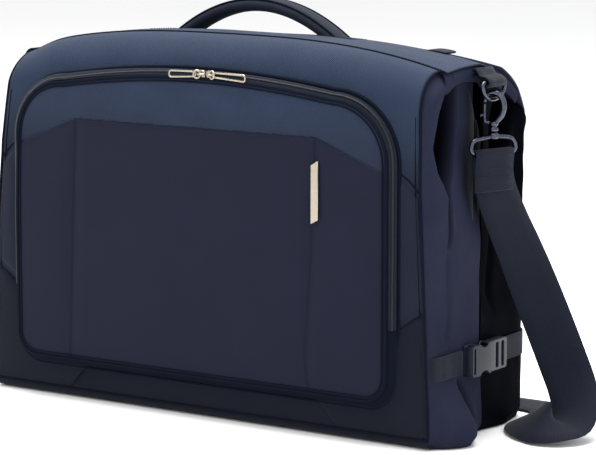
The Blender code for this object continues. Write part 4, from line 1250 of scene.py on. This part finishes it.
def make_lining(prefix, facing, top, body):
    """The inner face of one half, closed by a zip whose slider rides on it."""
    t, x = grid(101, 121, -1)
    x = x * LINING_HALF
    low_round, high_round = 0.03, 0.04
    low_across = np.clip(np.abs(x) - (LINING_HALF - low_round), 0, low_round)
    bottom = 0.0016 + low_round - np.sqrt(low_round**2 - low_across**2)
    high_across = np.clip(np.abs(x) - (LINING_HALF - high_round), 0, high_round)
    high = top - 0.002 - high_round + np.sqrt(high_round**2 - high_across**2)
    z = bottom + t * (high - bottom)
    x = x + 0 * t
    edge = np.minimum(np.minimum(z - bottom, high - z), LINING_HALF - np.abs(x))
    soft = ripple(x, 0 * x, z, 0.08, 0.0006, 13.0 + facing)
    y = facing * (0.0062 + 0.0006 * (1 - np.exp(-edge / 0.02))) + soft
    points = np.stack([x, y, z], -1)
    inner = surface(f"{prefix}_lining_cloth", points, LINING, body, (0, -facing, 0), 0.0012)
    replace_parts(inner, f"{prefix}_lining", f"{prefix}_gusset_top", f"{prefix}_gusset_bottom")
    along = np.linspace(-LINING_ZIP_HALF, LINING_ZIP_HALF, 100)
    line = [Vector((a, facing * 0.006, LINING_ZIP_Z)) for a in along]
    upwards = [Vector((0, 0, 1))] * len(line)
    ribbon(f"{prefix}_lining_zip_tape", line, upwards, 0.011, 0.0008, TAPE, body)
    coil = [p + Vector((0, -facing * 0.0006, 0)) for p in line]
    tube(f"{prefix}_lining_zip_coil", coil, 0.0011, TEETH, body)
    for level in (0.2825, 0.3015):
        row = [(a, facing * 0.0052, level) for a in along]
        name = f"{prefix}_lining_stitches_{int(level * 1000)}"
        stitches(name, row, body, (0, -facing, 0), 0.0032, 0.0022, 0.0002)


make_lining("front", -1, 0.362, "front_half")
make_lining("rear", 1, 0.335, "rear_half")


# ---------------------------------------------------------------- strap hardware

# The ring's bar, the turns of the hook and the loop about the upright below it, and the loop's heights
RING_X, RING_Y, RING_BAR = 0.29, 0.004, 0.3575
HOOK_TURN, LOOP_TURN = math.radians(34), math.radians(70)
LOOP_BAR, LOOP_TOP = 0.2865, 0.3025


def in_plane(sign, turn, u, height):
    """A point of a piece that hangs below the ring, turned about the upright through it."""
    return Vector((sign * (RING_X + u * math.cos(turn)), RING_Y + u * math.sin(turn), height))


def wire(name, points, radius, body, closed=False, radii=None, sides=6):
    return tube(name, points, radius, NICKEL, body, closed, radii, sides)


def lathe(name, centre, profile, body, count=32):
    """A turned metal piece about an upright axis, from (radius, height) points."""
    rows = []
    for radius, height in profile:
        angles = [2 * math.pi * step / count for step in range(count)]
        ring = [(radius * math.cos(angle), radius * math.sin(angle)) for angle in angles]
        rows.append([(centre[0] + a, centre[1] + b, height) for a, b in ring])
    return surface(name, np.array(rows), NICKEL, body,
                   lambda p: (p - [centre[0], centre[1], 0]) * [1, 1, 0], closed=True)


def make_ring_and_hook(side, sign):
    """The D-ring, and the snap hook that hangs in it, with its turned post and its gate."""
    points = [Vector((sign * RING_X, RING_Y + b, RING_BAR)) for b in (-0.0195, 0.0195)]
    for step in range(1, 40):
        angle = math.pi * step / 40
        drop = 0.0175 * math.sin(angle) ** 0.8
        points.append(Vector((sign * RING_X, RING_Y + 0.022 * math.cos(angle), RING_BAR - drop)))
    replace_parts(wire(f"d_ring_wire_{side}", points, 0.002, f"ring_{side}", closed=True), f"d_ring_{side}")
    bend = [(0.0, 0.314), (0.003, 0.318), (0.0078, 0.324), (0.0098, 0.331), (0.0092, 0.338),
            (0.006, 0.344), (0.001, 0.3468), (-0.004, 0.346), (-0.0078, 0.3425), (-0.0091, 0.3375)]
    route = smooth_route([in_plane(sign, HOOK_TURN, u, z) for u, z in bend], 5)
    shares = [k / (len(route) - 1) for k in range(len(route))]
    sizes = [0.8 + 0.42 * math.sin(math.pi * min(1, share * 1.25)) - 0.1 * share for share in shares]
    hook = wire(f"snap_hook_body_{side}", route, 0.0027, f"hook_{side}", radii=sizes)
    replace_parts(hook, f"snap_hook_{side}")
    lathe(f"snap_hook_post_{side}", in_plane(sign, HOOK_TURN, 0, 0),
          [(0.0001, 0.318), (0.003, 0.318), (0.0046, 0.317), (0.005, 0.3155), (0.0044, 0.3142),
           (0.003, 0.3132), (0.003, 0.3122), (0.0046, 0.3114), (0.005, 0.31), (0.0046, 0.3086),
           (0.003, 0.3078), (0.0001, 0.3078)], f"hook_{side}")
    gate_path = ((-0.004, 0.317), (-0.0075, 0.3174), (-0.0088, 0.3195), (-0.009, 0.327), (-0.009, 0.3355))
    route = smooth_route([in_plane(sign, HOOK_TURN, u, z) for u, z in gate_path])
    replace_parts(wire(f"hook_gate_wire_{side}", route, 0.0014, f"gate_{side}", sides=4), f"hook_gate_{side}")
    thumb = ((-0.009, 0.324), (-0.0118, 0.3248), (-0.013, 0.3232))
    route = smooth_route([in_plane(sign, HOOK_TURN, u, z) for u, z in thumb])
    wire(f"hook_gate_thumb_{side}", route, 0.0011, f"gate_{side}", sides=4)


def make_strap_loop(side, sign):
    """The wire loop that the strap's end is sewn round, with the collar that the hook turns in."""
    half, low, top = STRAP_HALF + 0.0035, LOOP_BAR, LOOP_TOP
    right = [(0.012, low), (half - 0.004, low), (half - 0.0008, low + 0.0018), (half, low + 0.0055),
             (half - 0.0018, low + 0.01), (half - 0.0065, top - 0.0022), (0.012, top - 0.0004)]
    left = [(-u, z) for u, z in reversed(right)]
    corners = [*left[-2:], *right, (0.0, top + 0.0004), *left[:-2], left[-2]]
    route = smooth_route([in_plane(sign, LOOP_TURN, u, z) for u, z in corners])
    loop = wire(f"strap_loop_wire_{side}", route[:-1], 0.0021, "spine", closed=True)
    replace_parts(loop, f"strap_loop_{side}")
    lathe(f"strap_loop_collar_{side}", in_plane(sign, LOOP_TURN, 0, 0),
          [(0.0001, 0.3), (0.003, 0.3), (0.0048, 0.3012), (0.0052, 0.3032), (0.005, 0.3054),
           (0.0038, 0.307), (0.0001, 0.3074)], "spine")


def make_ring_tab(side, sign):
    """The webbing tab that holds the ring's bar."""
    tab = [(0.258, 0.36), (0.27, 0.361), (0.281, 0.3632), (0.2885, 0.3628), (0.2932, 0.36), (0.2944, 0.357),
           (0.2925, 0.3538), (0.288, 0.3526), (0.28, 0.354), (0.27, 0.356), (0.26, 0.3568)]
    route = smooth_route([(sign * a, RING_Y, b) for a, b in tab])
    band = webbing_band(f"ring_tab_{side}", route, Vector((0, 1, 0)), 0.0165, 0.0015, "spine")
    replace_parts(band, f"strap_tab_{side}")
    row = [(sign * 0.2795, RING_Y + b, 0.364) for b in np.linspace(-0.015, 0.015, 10)]
    stitches(f"ring_tab_stitches_{side}", row, "spine", (0, 0, 1), 0.003, 0.002, 0.00025)


def make_strap_end(side, sign):
    """The strap's end, folded round the loop's bar and sewn. The left one ends above the adjuster."""
    across = Vector((sign * -0.342, -0.94, 0)).normalized()
    normal = Vector((sign * 0.94, -0.342, 0)).normalized()
    fold = [(0.248, 0.0017), (0.257, 0.0018), (0.269, 0.0018), (0.279, 0.0024), (0.286, 0.0036),
            (0.2898, 0.0022), (0.2904, 0.0), (0.2898, -0.0022), (0.286, -0.0036), (0.28, -0.0024),
            (0.273, -0.0018), (0.263, -0.0018)]
    levels = (0.271, 0.263, 0.252)
    if sign < 0:
        fold = [(z, w) for z, w in fold if z > 0.2685]
        levels = (0.2715, 0.267)
    base = Vector((sign * RING_X, RING_Y, 0))
    route = smooth_route([base + normal * w + Vector((0, 0, z)) for z, w in fold], 3)
    webbing_band(f"strap_end_fold_{side}", route, across, STRAP_HALF - 0.0003, 0.0014, "spine")
    for level in levels:
        middle = base + normal * 0.0026 + Vector((0, 0, level))
        row = [middle + across * k for k in np.linspace(-0.022, 0.022, 12)]
        name = f"strap_end_stitches_{side}_{int(level * 10000)}"
        stitches(name, row, "spine", normal, 0.0028, 0.002, 0.00028)


for side, sign in SIDES:
    make_ring_and_hook(side, sign)
    make_strap_loop(side, sign)
    make_ring_tab(side, sign)
    make_strap_end(side, sign)


# ---------------------------------------------------------------- side buckles and webbing


BUCKLE_Z = 0.08
BUCKLE_SPAN = (0.2792, 0.2884)  # the x between which its body lies
SIDE_WEB_HALF, SIDE_WEB_THICK = 0.0124, 0.0014
FRONT_WEB = [(0.2668, -0.093), (0.2728, -0.0912), (0.277, -0.086), (0.2788, -0.076), (0.2788, -0.06),
             (0.279, -0.045), (0.2806, -0.036)]
REAR_WEB = [(0.2818, 0.0325), (0.2802, 0.04), (0.279, 0.048), (0.2782, 0.06), (0.2778, 0.075),
            (0.2768, 0.088), (0.2725, 0.0985), (0.266, 0.106), (0.259, 0.1092)]


def make_side_buckle(side, sign):
    """A side-release buckle. Its outlines are depths and heights, with the heights from its middle."""

    def plate(name, body, span, bevel, *outlines):
        placed = [[(a, BUCKLE_Z + b) for a, b in outline] for outline in outlines]
        return prism(name, placed, *span, bevel, ACETAL, "plastic", body, mirror=sign)

    def box(low, high, half, radius, steps=2):
        return rounded(low, high, -half, half, radius, steps)

    socket, plug = "front_half", f"buckle_{side}"
    lower = [(-0.03, -0.014), (-0.0285, -0.0155), (-0.02, -0.016), (-0.015, -0.0158), (-0.012, -0.0128),
             (-0.006, -0.0118), (-0.001, -0.0128), (0.002, -0.0158), (0.005, -0.016), (0.006, -0.015)]
    face = lower + [(a, -b) for a, b in reversed(lower)]
    opening = box(-0.0278, -0.024, 0.013, 0.0012)
    outer = plate(f"buckle_socket_face_{side}", socket, (0.2881, 0.2898), 0.0005, face, opening)
    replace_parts(outer, f"buckle_female_{side}")
    plate(f"buckle_socket_back_{side}", socket, (0.2778, 0.2795), 0.0005, face, opening)
    plate(f"buckle_socket_bar_{side}", socket, BUCKLE_SPAN, 0.0004, box(-0.0238, -0.0205, 0.0158, 0.0008))
    plate(f"buckle_socket_web_bar_{side}", socket, BUCKLE_SPAN, 0.0004, box(-0.03, -0.0278, 0.015, 0.0008))
    for place, up in (("lower", -1), ("upper", 1)):
        for kind, low, high in (("rail", -0.0208, -0.016), ("lip", 0.0015, 0.0058)):
            corners = [(low, up * 0.0135), (high, up * 0.0135), (high, up * 0.0158), (low, up * 0.0158)]
            plate(f"buckle_socket_{kind}_{side}_{place}", socket, BUCKLE_SPAN, 0.0004, corners)

    slots = [box(low, low + 0.0054, 0.0127, 0.0012) for low in (0.0173, 0.0283)]
    block = box(0.0075, 0.0392, 0.0158, 0.003, 4)
    body = plate(f"buckle_plug_{side}", plug, BUCKLE_SPAN, 0.0008, block, *slots)
    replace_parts(body, f"buckle_male_{side}")
    tongue = [(-0.0175, -0.0012), (-0.015, -0.0022), (0.008, -0.0022), (0.008, 0.0022), (-0.015, 0.0022),
              (-0.0175, 0.0012)]
    plate(f"buckle_tongue_{side}", plug, (0.2818, 0.2858), 0.0005, tongue)
    finger = [(0.0066, 0.0072), (0.0066, 0.0114), (0.0, 0.0117), (-0.003, 0.0121), (-0.007, 0.0122),
              (-0.011, 0.012), (-0.015, 0.0112), (-0.0186, 0.0098), (-0.0188, 0.008), (-0.012, 0.0078),
              (-0.004, 0.0074)]
    for place, up in (("upper", 1), ("lower", -1)):
        arm = plate(f"buckle_finger_{side}_{place}", f"arm_{side}_{place}", (0.2814, 0.2862), 0.0006,
                    [(a, up * b) for a, b in finger])
        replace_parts(arm, f"buckle_arm_{side}_{place}")

    for place, spots in (("front", FRONT_WEB), ("rear", REAR_WEB)):
        route = smooth_route([(sign * a, b, BUCKLE_Z) for a, b in spots])
        web = webbing_band(f"{place}_webbing_{side}", route, Vector((0, 0, 1)), SIDE_WEB_HALF, SIDE_WEB_THICK,
                           f"{place}_half")
        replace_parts(web, f"{place}_web_{side}")
    for b in (-0.071, -0.067, -0.053, -0.049):
        row = [(sign * 0.2796, b, BUCKLE_Z + c) for c in np.linspace(-0.011, 0.011, 8)]
        name = f"front_webbing_stitches_{side}_{int(-b * 1000)}"
        stitches(name, row, "front_half", (sign, 0, 0), 0.0028, 0.002, 0.00028)


for side, sign in SIDES:
    make_side_buckle(side, sign)


# ---------------------------------------------------------------- boards and the other CAD nodes

SUNK_FROM = 0.2  # the height from which a board is sunk by its whole sink
BOARD_SHARE = 0.95  # of the CAD board's width, so that its ends stay inside the cloth

def make_board(node, body, sink):
    """A stiffener board, bent to the settled cloth that covers it and kept clear of that cloth."""
    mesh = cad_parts[node].data.copy()
    mesh.materials.clear()
    points = settled([tuple(vertex.co) for vertex in mesh.vertices])
    points = points - np.array(sink) * np.clip(points[:, 2:] / SUNK_FROM, 0, 1)
    points[:, 0] *= BOARD_SHARE
    mesh.vertices.foreach_set("co", points.ravel())
    mesh.update()
    board = add_piece(f"{node}_sheet", mesh, BOARD, body)
    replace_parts(board, node)


make_board("spine_board", "spine", (0, 0, 0.005))
make_board("front_board", "front_half", (0, -0.0004, 0.007))
make_board("rear_board", "rear_half", (0, 0.0012, 0.009))

KEPT = {
    "front_lining_slider": CHAMPAGNE, "rear_lining_slider": CHAMPAGNE,
    "hanger_bracket": ACETAL, "hanger_clamp": ACETAL, "strap_adjuster": ACETAL,
    "hanging_hook": NICKEL, "garment_strap_upper": WEBBING, "garment_strap_lower": WEBBING,
}
for name, material in KEPT.items():
    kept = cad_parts[name].data
    kept.materials.clear()
    kept.materials.append(material)
